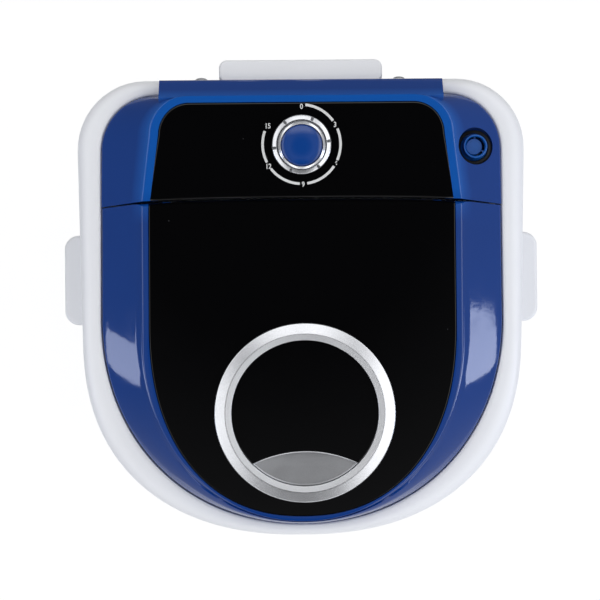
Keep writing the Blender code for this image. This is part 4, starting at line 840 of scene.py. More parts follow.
class WASHER_OT_dial(bpy.types.Operator):
    """Prints the dial: five arcs and the numbers 0 to 15 round the knob"""
    bl_idname = "washer.dial"
    bl_label = "Dial print"

    def execute(self, context):
        lid, control = settings()[1:3]
        top = lid.height + 0.00004
        parts = []
        for start, end in ((6, 54), (67, 114), (124, 172), (183, 232), (243, 290)):
            angles = [math.radians(start) + math.radians(end - start) * k / 24 for k in range(25)]
            band = [self.spot(control.dial_radius - control.dial_line / 2, a) for a in angles]
            angles.reverse()
            band += [self.spot(control.dial_radius + control.dial_line / 2, a) for a in angles]
            parts.append(prism(band, top - 0.00003, top))
        for number, angle, share in (("0", 360.3, 0.95), ("3", 60.5, 0.99), ("6", 119, 1.02),
                                     ("9", 178, 1.02), ("12", 237, 1.02), ("15", 298.3, 0.98)):
            pick()
            bpy.ops.object.text_add()
            text = context.object.data
            text.body = number
            text.align_x = text.align_y = "CENTER"
            text.size = control.digit_height / 0.7
            text.offset = 0.00012
            text.extrude = 0.00004
            bpy.ops.object.convert(target="MESH")
            spot = on_deck([self.spot(control.dial_radius * share, math.radians(angle))], top)[0]
            tilt = placed(spot, context.scene.washer_body.deck_slope)
            parts.append(set_in_place(context.object, tilt @ Matrix.Diagonal((0.85, 1, 1, 1))))
        pick(*parts)
        bpy.ops.object.join()
        context.object.name = "dial_print"
        finished(context.object, "ink", "cabinet")
        return {"FINISHED"}

    @staticmethod
    def spot(reach, angle):
        knob_y = bpy.context.scene.washer_control.knob_y
        return reach * math.sin(angle), knob_y + reach * math.cos(angle)


class WASHER_OT_knob(bpy.types.Operator):
    """Turns the knob: a skirt with six notches, a bright ring and a blue cap"""
    bl_idname = "washer.knob"
    bl_label = "Timer knob"

    def execute(self, context):
        body, lid, control = settings()[:3]
        place = placed(on_deck([(0, control.knob_y)], lid.height)[0], body.deck_slope)
        low = 0.0008
        radius = control.skirt_radius
        skirt = turned("knob_skirt_notched", [
            (0.0034, low), (radius - 0.0003, low), (radius, low + 0.0003), (radius, low + 0.0020),
            (radius - 0.0002, low + 0.0025), (radius - 0.0006, low + 0.0028),
            (radius - 0.0030, low + 0.0037), (radius - 0.0033, low + 0.0037),
            (radius - 0.0036, low + 0.0034), (radius - 0.0038, low + 0.0020),
            (0.0034, low + 0.0020)])
        slot = corner_arc(0.0200, 0, 0.0011, QUARTER, 3 * QUARTER)
        slot += [(0.0300, -0.0011), (0.0300, 0.0011)]
        for k in range(6):
            turn = Matrix.Rotation(math.radians(67 - 60 * k), 4, "Z")
            cut(skirt, set_in_place(prism(slot, low + 0.0014, low + 0.01, flat), turn))
        finished(set_in_place(eased(skirt, 0.0003, 3), place), "trim", "knob", "knob_skirt")
        outer, top, seat = control.knob_radius, control.knob_height, low + 0.0047
        inner = outer - 0.0019
        ring = turned("knob_bright_ring", [
            (outer, seat), (outer, top - 0.0020), (outer - 0.0001, top - 0.0012),
            (outer - 0.0003, top - 0.0008), (inner + 0.0004, top - 0.0003), (inner + 0.0001, top),
            (inner, top - 0.0003), (inner, seat)], place=place)
        finished(smooth(ring, 50), "bright trim", "knob", "knob_ring")
        edge = inner - FIT
        crown = [(0.0033, seat), (edge, seat), (edge, top - 0.0024), (edge - 0.0002, top - 0.0020)]
        for k in range(11):
            share = 1 - k / 10
            crown.append((ON_AXIS + (edge - 0.0005) * share,
                          top - 0.0017 + 0.0018 * (1 - share ** 2.6)))
        crown += [(ON_AXIS, 0.0093), (0.0033, 0.0093)]
        finished(smooth(turned("knob_blue_cap", crown, place=place)), "cap blue", "knob",
                 "knob_cap")
        return {"FINISHED"}


class WASHER_OT_inlet(bpy.types.Operator):
    """Turns the water inlet: a bored tube with a rounded mouth and a flange"""
    bl_idname = "washer.inlet"
    bl_label = "Water inlet"

    def execute(self, context):
        control = context.scene.washer_control
        low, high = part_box("inlet_spigot")
        x, y, z = middle("inlet_spigot")
        place = placed((x, y, 0))
        seat = deck_z(control.inlet_y, 0.0005) + FIT
        radius, bore = control.spigot_radius, control.spigot_bore
        tube = turned("inlet_tube", [
            (bore, low.z), (radius, low.z), (radius, seat), (0.0102, seat), (0.0102, seat + 0.0010),
            (0.0098, seat + 0.0014), (radius + 0.0006, seat + 0.0015), (radius, seat + 0.0020),
            (radius, high.z - 0.0022), (radius + 0.0004, high.z - 0.0018),
            (radius + 0.0004, high.z - 0.0006), (radius, high.z),
            (bore + 0.0006, high.z), (bore, high.z - 0.0008)], 72)
        deep = high.z - 0.0045
        join(tube, turned("baffle", [
            (0.0062, deep - 0.0012), (0.0062, deep - 0.0004), (0.0058, deep), (ON_AXIS, deep),
            (ON_AXIS, deep - 0.0012)], 72, place=placed((-0.0006, 0, 0))))
        spoke = [(0.003, -0.0006), (bore + 0.0008, -0.0006), (bore + 0.0008, 0.0006),
                 (0.003, 0.0006)]
        for k in range(3):
            turn = Matrix.Rotation(math.radians(90 + 120 * k), 4, "Z")
            join(tube, set_in_place(prism(spoke, deep - 0.0012, deep - 0.0004, flat), turn))
        finished(set_in_place(smooth(tube), place), "bright blue", "cabinet", "inlet_spigot")
        well = control.well_radius
        gasket = turned("inlet_gasket", [
            (0.0105, seat + 0.0008), (well - 0.0006, seat + 0.0008), (well - 0.0004, seat + 0.0014),
            (well - 0.0012, seat + 0.0024), (0.0110, seat + 0.0024), (0.0105, seat + 0.0018)],
            72, place=place)
        finished(smooth(gasket), "rubber", "cabinet")
        return {"FINISHED"}


def blue_curve(inset=0):
    body = bpy.context.scene.washer_body
    return body.blue_half - inset, body.blue_front - inset, body.blue_start, BLUE_POWER


def crease_curve(inset=0):
    body, lid = settings()[:2]
    return (body.blue_half - lid.side_slope - inset, body.blue_front - lid.front_slope - inset,
            0.034, CREASE_POWER)


def panel_curve(inset=0):
    body, lid = settings()[:2]
    return (body.blue_half - lid.side_slope - lid.side_flat - inset,
            body.blue_front - lid.front_slope - lid.front_flat - inset, 0.022, PANEL_POWER)


def lens_outline(inset):
    """The finger scoop: where the ring's inside meets a wide arc that bulges to the back."""
    lid = bpy.context.scene.washer_lid
    low = lid.ring_outer - lid.outer_bevel - lid.inner_bevel - inset
    high = 0.0915 - inset
    centre = 0.0289 + 0.0915
    along = (centre ** 2 + low ** 2 - high ** 2) / (2 * centre)
    half_low = math.acos(along / low)
    half_high = math.acos((centre - along) / high)
    points = corner_arc(lid.ring_x, -lid.ring_y, low, -QUARTER - half_low, half_low - QUARTER, 48)
    return points + corner_arc(lid.ring_x, -lid.ring_y - centre, high, QUARTER - half_high,
                               QUARTER + half_high, 48)[1:-1]


class WASHER_OT_lid(bpy.types.Operator):
    """Builds the lid: the blue frame with its soft crease, and the black panel with a scoop hole"""
    bl_idname = "washer.lid"
    bl_label = "Lid"

    def execute(self, context):
        body, lid = settings()[:2]
        height, wall = lid.height, body.wall
        under = height - lid.panel
        blue, crease = lid_outline(blue_curve()), lid_outline(crease_curve())
        rings = stack(lambda share: mix(blue, crease, share), (
            (0, -0.0040), (0, 0.0006), (0.012, 0.0014)))
        for share in (0.05, 0.20, 0.40, 0.60, 0.82):
            straight = 0.0014 + (height - 0.0026) * share
            crown = (height - 0.0026) * (1 - (1 - share) ** 2.6) + 0.0014 - straight
            rings.append(self.crowned(mix(blue, crease, share), straight, crown))
        for share, w in ((0.93, height - 0.0026), (0.975, height - 0.0010),
                         (1.012, height - 0.0003), (1.045, height)):
            rings.append(on_deck(mix(lid_outline(blue_curve(), w=w),
                                     lid_outline(crease_curve(), w=w), share), w))
        edge = height + 0.0005
        rings.append(on_deck(lid_outline(panel_curve(-0.0006), w=edge), edge))
        shell = skin("blue_lid_frame", rings)
        cut(shell, skin("hollow", stack(lambda curve: lid_outline(curve(wall), wall), (
            (blue_curve, UNDER), (blue_curve, 0.0002), (crease_curve, under - 0.0027)))))
        seat = under - FIT
        cut(shell, prism(lid_outline(panel_curve(-FIT), -0.01), seat, OVER))
        cut(shell, prism(lid_outline(panel_curve(0.0063), lid.hinge_setback + 0.0097), UNDER, OVER))
        self.add_knuckles(shell, seat)
        finished(smooth(shell, 30), "blue", "lid", "lid_frame")

        panel = skin("black_lid_panel", [
            on_deck(lid_outline(panel_curve(inset), w=w), w + lift) for inset, w, lift in (
                (0, seat, 0.0003), (0, height - 0.0006, 0), (0.0002, height - 0.0003, 0),
                (0.0005, height - 0.0001, 0), (0.0010, height, 0))])
        cut(panel, prism(lens_outline(0), 0.01, OVER))
        finished(smooth(panel), "panel", "lid", "lid_panel")
        return {"FINISHED"}

    @staticmethod
    def crowned(outline, straight, crown):
        """A ring that lies on a straight slope at the sides, and is fuller round the front."""
        body = bpy.context.scene.washer_body
        reach = body.blue_front - body.blue_start
        spots = []
        for x, y in outline:
            ahead = min(1, max(0, (-y - body.blue_start) / reach) / 0.93) ** 3
            spots += on_deck([(x, y)], straight + crown * ahead)
        return spots

    @staticmethod
    def add_knuckles(shell, seat):
        """Joins the hinge knuckles, cuts the slots for the posts and bores for the pins."""
        body, lid = settings()[:2]
        end = lid.split_y - lid.split_gap / 2
        pin_y, pin_w = hinge_line()
        pin_z = deck_z(pin_y, pin_w)
        back, near = end - 0.00125, pin_y - HINGE_ROUND
        knuckle = [(near, pin_z - HINGE_ROUND), (back, pin_z - HINGE_ROUND),
                   (back, deck_z(back, seat - 0.0012)), (near, deck_z(near, seat - 0.0012))]
        front, behind, top = pin_y - 0.0047, end + 0.01, seat + 0.00015
        slot = [(front, deck_z(front, UNDER)), (behind, deck_z(front, UNDER)),
                (behind, deck_z(behind, top)), (front, deck_z(front, top))]
        for side in (-1, 1):
            hinge_x = side * (body.blue_half - lid.side_slope - HINGE_INSET)
            for profile, half, act in ((knuckle, 0.0096, join), (slot, 0.0036, cut)):
                act(shell, beam(profile, hinge_x - half, hinge_x + half))
            cut(shell, rod(PIN_HOLE, -0.02, 0.02, 24,
                           placed((hinge_x, pin_y + plan_shift(), pin_z), QUARTER, "Y")))


class WASHER_OT_trim(bpy.types.Operator):
    """Builds the silver trim of the lid: the bevelled ring and the dished finger scoop"""
    bl_idname = "washer.trim"
    bl_label = "Ring and scoop"

    def execute(self, context):
        lid = context.scene.washer_lid
        outer, rise = lid.ring_outer, lid.ring_height
        crest = outer - lid.outer_bevel
        inner = crest - lid.inner_bevel
        low = rise - 0.0007
        self.ring("silver_ring", [
            (outer, 0), (outer, 0.0006), (outer - 0.0003, 0.0010), (outer - 0.0007, 0.0012),
            (crest + 0.0010, rise - 0.00022), (crest + 0.0004, rise - 0.00004), (crest, rise),
            (crest, 0)], "trim", "lid_ring")
        self.ring("satin_bezel", [
            (inner, 0), (crest + 0.0001, 0), (crest + 0.0001, rise - 0.00008),
            (inner + 0.0006, low), (inner + 0.0002, low - 0.0001), (inner, low - 0.0004)],
            "pale satin")

        top = lid.height - lid.panel / 4
        rings = [on_deck(lens_outline(0.0003 + 0.0012 * share), top - lid.scoop_depth * share)
                 for share in (1.0, 0.5, 0.0)]
        rings += stack(lens_outline, (
            (0.0004, top + 0.0003), (0.0007, top + 0.0004), (0.0010, top + 0.0002)))
        rings += [self.dished(lens_outline(0.0014), share, top)
                  for share in (1.0, 0.94, 0.85, 0.70, 0.50, 0.30, 0.05)]
        finished(smooth(skin("silver_scoop", rings), 40), "satin", "lid", "lid_scoop")
        return {"FINISHED"}

    @staticmethod
    def ring(name, profile, kind, *nodes):
        lid = bpy.context.scene.washer_lid
        rings = [on_deck(circle(radius, lid.ring_x, -lid.ring_y, 160), lid.height + FIT + w)
                 for radius, w in profile]
        finished(smooth(skin(name, rings, "loop"), 25), kind, "lid", *nodes)

    @staticmethod
    def dished(outline, share, top):
        """An outline drawn in about its middle, on a floor that falls away to the back."""
        middle_x = sum(x for x, y in outline) / len(outline)
        middle_y = sum(y for x, y in outline) / len(outline)
        front = min(y for x, y in outline)
        spots = []
        for x, y in outline:
            across = (x - middle_x) * share
            spot = (middle_x + across, middle_y + (y - middle_y) * share)
            drop = 0.0009 + 0.15 * (spot[1] - front) - 1.5 * across ** 2
            spots += on_deck([spot], top - max(drop, 0.0007))
        return spots


class WASHER_OT_grips(bpy.types.Operator):
    """Builds both handles, open below for the fingers, and the hook for the drain hose"""
    bl_idname = "washer.grips"
    bl_label = "Handles and hook"

    def execute(self, context):
        body, fitting = settings()[::3]
        wall_x = body.blue_half + body.side_band + FIT
        low, height = fitting.handle_low, fitting.handle_height
        top = low + height
        for name, side in (("left_handle", -1), ("right_handle", 1)):
            grip = skin(name + "_grip", stack(lambda inset: self.grip(side, wall_x, inset), (
                (0.0010, low), (0.0003, low + 0.0003), (0, low + 0.0010), (0, top - 0.0030),
                (0.0004, top - 0.0014), (0.0013, top - 0.0004), (0.0026, top)), level))
            pocket = self.grip(side, wall_x + 0.0035, 0.0035)
            cut(grip, prism(pocket, low - 0.01, low + height - 0.0035, level))
            finished(smooth(grip), "shell", "cabinet", name)
        reach = 0.0120
        hook_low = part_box("hose_hook")[0].z
        profile = [(0, 0), (reach, 0), (reach, 0.016), (reach - 0.0025, 0.016),
                   (reach - 0.0025, 0.0025), (0.0025, 0.0025), (0.0025, 0.028), (0, 0.028)]
        shift = plan_shift()
        rings = [[Vector((wall_x + x, y + shift, hook_low + z)) for x, z in profile]
                 for y in (fitting.hook_y - 0.00725, fitting.hook_y + 0.00725)]
        finished(eased(skin("hose_hook_clip", rings), 0.0007, 3), "shell", "cabinet", "hose_hook")
        return {"FINISHED"}

    @staticmethod
    def grip(side, wall_x, inset):
        """Outline of a handle: the far corners round, the ones at the wall sharp."""
        body, fitting = settings()[::3]
        corner = 0.0112 - inset / 2
        outer = body.blue_half + body.side_band + FIT + fitting.handle_reach - inset - corner
        front = fitting.handle_y - fitting.handle_length / 2 + inset
        back = fitting.handle_y + fitting.handle_length / 2 - inset
        points = [(wall_x, front)] + corner_arc(outer, front + corner, corner, -QUARTER, 0)
        points += corner_arc(outer, back - corner, corner, 0, QUARTER) + [(wall_x, back)]
        return [(side * x, y) for x, y in points]


class WASHER_OT_back(bpy.types.Operator):
    """Builds what is on the back: the cover with its four screws, the cord gland and the outlet"""
    bl_idname = "washer.back"
    bl_label = "Rear cover and fittings"

    def execute(self, context):
        body, fitting = settings()[::3]
        rear, wall = body.blue_rear + body.rear_band, body.wall
        low, high = (corner.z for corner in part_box("rear_cover"))
        half, outer = fitting.cover_half, rear + fitting.cover_reach
        seat = rear + FIT
        step = deck_z(rear, 0.0008)
        lip = seat - 0.0033

        def plan(inset, front, turn=0.0003):
            side = half - inset
            return (corner_arc(turn - side, front + turn, turn, math.pi, 3 * QUARTER)
                    + corner_arc(side - turn, front + turn, turn, -QUARTER, 0)
                    + rounded_back(side, outer - inset, 0.006 - inset))

        cover = skin("rear_cover_shell", stack(lambda form: plan(*form), (
            ((0.0008, seat), low), ((0.0002, seat), low + 0.0003), ((0, seat), low + 0.0009),
            ((0, seat), step), ((0, lip, 0.0055), step + 0.0003),
            ((0, lip, 0.0055), high - 0.0016), ((0.0003, lip + 0.0001, 0.0054), high - 0.0008),
            ((0.0009, lip + 0.0004, 0.0051), high - 0.0002),
            ((0.0018, lip + 0.0008, 0.0047), high)), level))
        inner = [(x * (half - wall) / half, min(y, outer - wall)) for x, y in plan(0, seat - 0.01)]
        cut(cover, prism(inner, low + wall, step - wall, level))
        ears = []
        shift = plan_shift()
        for k in range(1, 5):
            x, y, z = middle("rear_cover_screw_%d" % k)
            side = math.copysign(1, x)
            root = side * (half - wall / 2)
            round_end = corner_arc(x * side, z, 0.0075, -QUARTER, QUARTER, 16)
            outline = [(root, z + 0.0075), (root, z - 0.0075)]
            outline += [(side * a, b) for a, b in round_end]
            rings = [[Vector((root + (a - root) * across, y + shift, z + (b - z) * up))
                      for a, b in outline]
                     for y, across, up in ((seat, 1, 1), (seat + 0.0016, 1, 1),
                                           (seat + 0.0020, 0.96, 0.94))]
            join(cover, skin("ear", rings))
            ears.append((x, z))
        self.screws(ears, seat + 0.0023 + shift)
        finished(smooth(cover), "shell", "cabinet", "rear_cover")
        self.gland_and_outlet()
        return {"FINISHED"}

    @staticmethod
    def screws(places, seat):
        """Pan-head screws with a cross recess, modelled once and copied to each ear."""
        head = turned("screw", [
            (0.0016, -0.008), (0.0016, 0), (0.0052, 0), (0.0052, 0.0007), (0.0048, 0.0015),
            (0.0038, 0.0023), (0.0022, 0.0028), (ON_AXIS, 0.0030), (ON_AXIS, -0.008)], 48)
        for width, deep in ((0.0007, 0.0026), (0.0026, 0.0007)):
            slot = [(-width, -deep), (width, -deep), (width, deep), (-width, deep)]
            cut(head, skin("slot", stack(lambda share: [(x * share, y * share) for x, y in slot],
                                         ((0.6, 0.0012), (1, 0.006)), flat)))
        smooth(head)
        for k, (x, z) in enumerate(places, start=1):
            screw = copied(head, "cover_screw_%d" % k, placed((x, seat, z), -QUARTER))
            finished(screw, "steel", "cabinet", "rear_cover_screw_%d" % k)
        bpy.data.objects.remove(head)

    @staticmethod
    def gland_and_outlet():
        rear = CASING_HIGH.y + FIT

        def on_back(name, node, bore, neck, profile, steps):
            """Turns a fitting whose axis points to the back, from its neck's inner end on."""
            x, y, z = middle(node)
            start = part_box(node)[0].y - rear
            return turned(name, [(bore, start), (neck, start), (neck, 0), *profile], steps,
                          place=placed((x, rear, z), -QUARTER))

        gland = on_back("cord_gland_grommet", "cord_gland", 0.0042, 0.0080, [
            (0.0117, 0), (0.0120, 0.0004), (0.0120, 0.0018), (0.0115, 0.0025), (0.0090, 0.0031),
            (0.0080, 0.0038), (0.0072, 0.0040), (0.0046, 0.0040), (0.0042, 0.0036)], 64)
        finished(smooth(gland), "rubber", "cabinet", "cord_gland")
        barbs = []
        for k in range(3):
            foot = 0.0036 + 0.0030 * k
            barbs += [(0.0110, foot), (0.0115, foot + 0.0001), (0.0103, foot + 0.0027)]
        outlet = on_back("hose_barb_outlet", "drain_outlet", 0.0075, 0.0135, [
            (0.0177, 0), (0.0180, 0.0003), (0.0180, 0.0016), (0.0176, 0.0020), (0.0119, 0.0022),
            *barbs, (0.0098, 0.0128), (0.0093, 0.0130), (0.0079, 0.0130), (0.0075, 0.0126)], 72)
        finished(smooth(outlet, 30), "fittings", "cabinet", "drain_outlet")


def mouth_outline(grown):
    """The mouth in the deck: a circle about the tub's axis, cut straight before the hinge."""
    body, lid, _, fitting = settings()
    radius = fitting.tub_radius - 0.0115 + grown
    drop = lid.height - lid.panel - 0.0001 - lid.hinge_setback * math.sin(body.deck_slope)
    swing = math.hypot(lid.hinge_setback, drop / math.cos(body.deck_slope))
    chord = hinge_line()[0] - swing - 0.0035 + grown + fitting.tub_y
    half = math.asin(chord / radius)
    return corner_arc(0, -fitting.tub_y, radius, math.pi - half, 2 * math.pi + half, 128)


class WASHER_OT_deck(bpy.types.Operator):
    """Builds the deck under the lid: its plate, the mouth with a raised collar, the hinge posts"""
    bl_idname = "washer.deck"
    bl_label = "Deck"

    def execute(self, context):
        body, lid, control = settings()[:3]
        wall, top = body.wall, 0.0048
        deck = skin("deck_plate", stack(lip_outline, (
            (body.lid_gap - FIT, -0.0097), (body.lid_gap - FIT, -0.0072))))
        join(deck, skin("collar", stack(mouth_outline, (
            (wall, -0.0187), (wall, -0.0066), (wall - 0.0001, top - 0.0008),
            (wall - 0.0004, top - 0.0002), (wall - 0.0008, top)))))
        cut(deck, skin("mouth", stack(mouth_outline, (
            (0, -0.03), (0, top - 0.0008), (0.0003, top - 0.0002), (0.0008, top),
            (0.0012, 0.03)))))
        pin_y, pin_w = hinge_line()
        pin_z = deck_z(pin_y, pin_w)
        foot = deck_z(pin_y, -0.0085)
        post = corner_arc(pin_y, pin_z, HINGE_ROUND, 0, math.pi, 24)
        post += [(pin_y - 0.0026, pin_z - HINGE_ROUND), (pin_y - 0.0026, foot),
                 (pin_y + 0.0026, foot), (pin_y + 0.0026, pin_z - HINGE_ROUND)]
        for side in (-1, 1):
            hinge_x = side * (body.blue_half - lid.side_slope - HINGE_INSET)
            join(deck, beam(post, hinge_x - 0.003, hinge_x + 0.003))
            cut(deck, rod(PIN_HOLE, -0.01, 0.01, 24,
                          placed((hinge_x, pin_y + plan_shift(), pin_z), QUARTER, "Y")))
        way = circle(control.spigot_radius + FIT, control.inlet_x, control.inlet_y)
        cut(deck, prism(way, -0.03, 0.01))
        finished(smooth(deck, 30), "shell", "cabinet", "top_deck")
        return {"FINISHED"}


class WASHER_OT_tub(bpy.types.Operator):
    """Builds the wash tub with its bosses and drain, the pulsator and the drain's grate"""
    bl_idname = "washer.tub"
    bl_label = "Tub and pulsator"

    def execute(self, context):
        fitting = context.scene.washer_fitting
        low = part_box("wash_tub")[0].z
        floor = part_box("shaft_seal")[0].z
        top = floor + 0.003
        radius = fitting.tub_radius
        inner = radius - 0.0025

        def round_at(reach):
            return circle(reach, 0, -fitting.tub_y, 128)

        def rounding(outer, floor_z, corner=0.012):
            turns = [QUARTER * k / 8 for k in range(9)]
            return [level(round_at(outer - corner + corner * math.sin(turn)),
                          floor_z + corner - corner * math.cos(turn)) for turn in turns]

        rings = rounding(radius, floor)
        rings += stack(round_at, (
            (radius, -0.0125), (radius + 0.003, -0.0125), (radius + 0.003, -0.0100),
            (inner, -0.0100)))
        rings += [level(round_at(inner), z) for z in (0.33, 0.23, 0.195)]
        rings += rounding(inner, top)[::-1]
        tub = skin("wash_tub_shell", rings)
        for k in range(1, 5):
            bolt = "bracket_bolt_%d" % k
            x, y, z = middle(bolt)
            place = placed((x, y, 0))
            join(tub, turned("boss", [(0.007, low), (0.0072, floor + 0.001)], 40, "closed", place))
            cut(tub, rod(0.0028, low - 0.01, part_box(bolt)[1].z + FIT, 24, place))
        x, y, z = middle("drain_grate")
        drain = placed((x, y, 0))
        axis = placed((0, middle("drive_shaft")[1], 0))
        join(tub, rod(0.010, floor - 0.014, floor + 0.001, 48, drain))
        cut(tub, rod(0.0075, floor - 0.03, top + 0.01, 48, drain))
        cut(tub, rod(0.017, floor - 0.01, top + 0.01, 48, axis))
        self.cut_duct_hole(tub)
        finished(smooth(tub), "tub", "cabinet", "wash_tub")
        self.pulsator(axis, top + 0.004)
        self.grate(drain, top + FIT)
        return {"FINISHED"}

    @staticmethod
    def cut_duct_hole(tub):
        """Cuts the duct's hole along the duct's own last run, which points at the tub's axis."""
        control, fitting = settings()[2:]
        shift = plan_shift()
        start = Vector((control.inlet_x, control.inlet_y + shift,
                        deck_z(control.inlet_y, -0.0100) - 0.026))
        axis = Vector((0, shift - fitting.tub_y, start.z))
        aim = (axis - start).normalized()
        place = Matrix.Translation(axis - aim * (fitting.tub_radius - 0.00125))
        place = place @ aim.to_track_quat("Z", "Y").to_matrix().to_4x4()
        cut(tub, rod(control.spigot_radius + FIT, -0.01, 0.01, 48, place))

    @staticmethod
    def pulsator(axis, low):
        radius = bpy.context.scene.washer_fitting.pulsator_radius
        profile = [(ON_AXIS, low), (0.020, low), (radius - 0.0006, low + 0.0010),
                   (radius, low + 0.0018), (radius, low + 0.0040), (radius - 0.0004, low + 0.0047),
                   (radius - 0.0012, low + 0.0050)]
        for k in range(1, 12):
            share = k / 12
            profile.append((radius - 0.0012 - (radius - 0.0232) * share,
                            low + 0.0050 + 0.0100 * share ** 2.2))
        profile += [(0.0200, low + 0.0152), (0.0170, low + 0.0172), (0.0135, low + 0.0190),
                    (0.0100, low + 0.0200), (ON_AXIS, low + 0.0196)]
        disc = turned("blue_pulsator", profile, 128)

        def rib(half, start, short):
            return corner_arc(radius - short - half, 0, half, -QUARTER, QUARTER, 16) + [
                (start, half), (start, -half)]

        ribs = stack(lambda form: rib(*form), (
            ((0.0075, 0.014, 0.0040), low + 0.0030), ((0.0058, 0.014, 0.0060), low + 0.0080),
            ((0.0042, 0.014, 0.0085), low + 0.0115), ((0.0026, 0.015, 0.0110), low + 0.0134),
            ((0.0010, 0.016, 0.0130), low + 0.0140)), flat)
        for k in range(4):
            join(disc, set_in_place(skin("rib", ribs), Matrix.Rotation(QUARTER * k, 4, "Z")))
        for bore, bottom, top in ((0.0053, low - 0.01, low + 0.0126), (0.0019, low, low + 0.03),
                                  (0.0046, low + 0.0170, low + 0.03)):
            cut(disc, rod(bore, bottom, top, 40))
        finished(set_in_place(smooth(disc), axis), "blue", "wash_drive", "pulsator")

    @staticmethod
    def grate(place, low):
        disc = turned("slotted_drain_grate", [
            (ON_AXIS, low), (0.0165, low), (0.0165, low + 0.0010), (0.0160, low + 0.0016),
            (0.0145, low + 0.0020), (ON_AXIS, low + 0.0020)], 72)
        for k in range(5):
            x = (k - 2) * 0.0044
            slot = corner_arc(x, 0.0050, 0.0011, 0, math.pi, 8)
            slot += corner_arc(x, -0.0050, 0.0011, math.pi, 2 * math.pi, 8)
            cut(disc, prism(slot, low - 0.01, low + 0.01, flat))
        finished(set_in_place(smooth(disc), place), "fittings", "cabinet", "drain_grate")


class WASHER_OT_base(bpy.types.Operator):
    """Builds the base pan and the four rubber feet with their grooved soles"""
    bl_idname = "washer.base"
    bl_label = "Base and feet"

    def execute(self, context):
        wall = context.scene.washer_body.wall
        low, high = (corner.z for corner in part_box("base_pan"))
        top = low + 0.0027
        fit = TOE + wall + 0.0006
        pan = skin("grey_base_pan", stack(casing_outline, (
            (0.0070, low), (0.0063, low + 0.0003), (TOE, low + 0.0010), (TOE, top), (fit, top),
            (fit, high), (fit + wall, high), (fit + wall, top)), level))
        sole = low - FIT
        foot = smooth(turned("foot", [
            (ON_AXIS, 0.0006), (0.0055, 0.0006), (0.0060, 0), (0.0112, 0), (0.0126, 0.0006),
            (0.0137, 0.0018), (0.0140, 0.0030), (0.0137, 0.0060), (0.0131, sole - 0.0008),
            (0.0124, sole), (0.0047, sole), (0.0047, sole + 0.0045), (0.0038, sole + 0.0054),
            (ON_AXIS, sole + 0.0054)], 64), 40)
        for name in ("foot_front_left", "foot_front_right", "foot_rear_left", "foot_rear_right"):
            x, y, z = middle(name)
            place = placed((x, y, 0))
            cut(pan, rod(0.0050, low - 0.01, top + 0.01, 32, place))
            finished(copied(foot, "rubber_" + name, place), "rubber", "cabinet", name)
        bpy.data.objects.remove(foot)
        finished(smooth(pan), "fittings", "cabinet", "base_pan")
        return {"FINISHED"}


class WASHER_OT_works(bpy.types.Operator):
    """Gives the drive, the timer and the ducts inside, which keep their shape, their finishes"""
    bl_idname = "washer.works"
    bl_label = "Works inside"

    def execute(self, context):
        for kind, nodes in {
            "steel": ("drive_shaft", "upper_bearing", "lower_bearing", "pulley_nut",
                      "motor_shaft", "hinge_pin_left", "hinge_pin_right", "timer_shaft",
                      "pulsator_screw", "bracket_bolt_1", "bracket_bolt_2", "bracket_bolt_3",
                      "bracket_bolt_4"),
            "zinc": ("bearing_housing", "motor_bracket", "capacitor_clamp", "motor_pulley"),
            "enamel": ("motor_body",),
            "cream": ("timer_unit", "capacitor"),
            "fittings": ("inlet_duct", "driven_pulley"),
            "rubber": ("drive_belt", "drain_hose", "shaft_seal"),
        }.items():
            for name in nodes:
                dress(frame["nodes"][name], kind)
        for name in ("inlet_duct", "drain_hose", "pulsator_screw", "hinge_pin_left",
                     "hinge_pin_right"):
            smooth(frame["nodes"][name])
        return {"FINISHED"}


# Stage: floor, world, lamps and camera, in metres

CAMERA_AT = Vector((-0.016, 0.0024, 1.716))
CAMERA_AIM = Vector((-0.0018, 0.0024, 0.462))
CAMERA_ROLL = math.radians(-0.55)
SENSOR_WIDTH, FOCAL_LENGTH = 36, 97.8  # millimetres
RIM_MIDDLE = Vector((0, 0, 0.46))
WINDOW_REACH, WINDOW_HEIGHT, WINDOW_LENGTH = 1.5, 0.87, 0.60
WINDOW_BEARING, WINDOW_ROLL = math.radians(22.5), math.radians(48)
WINDOW_COLOUR = (0.73, 0.80, 1.0)


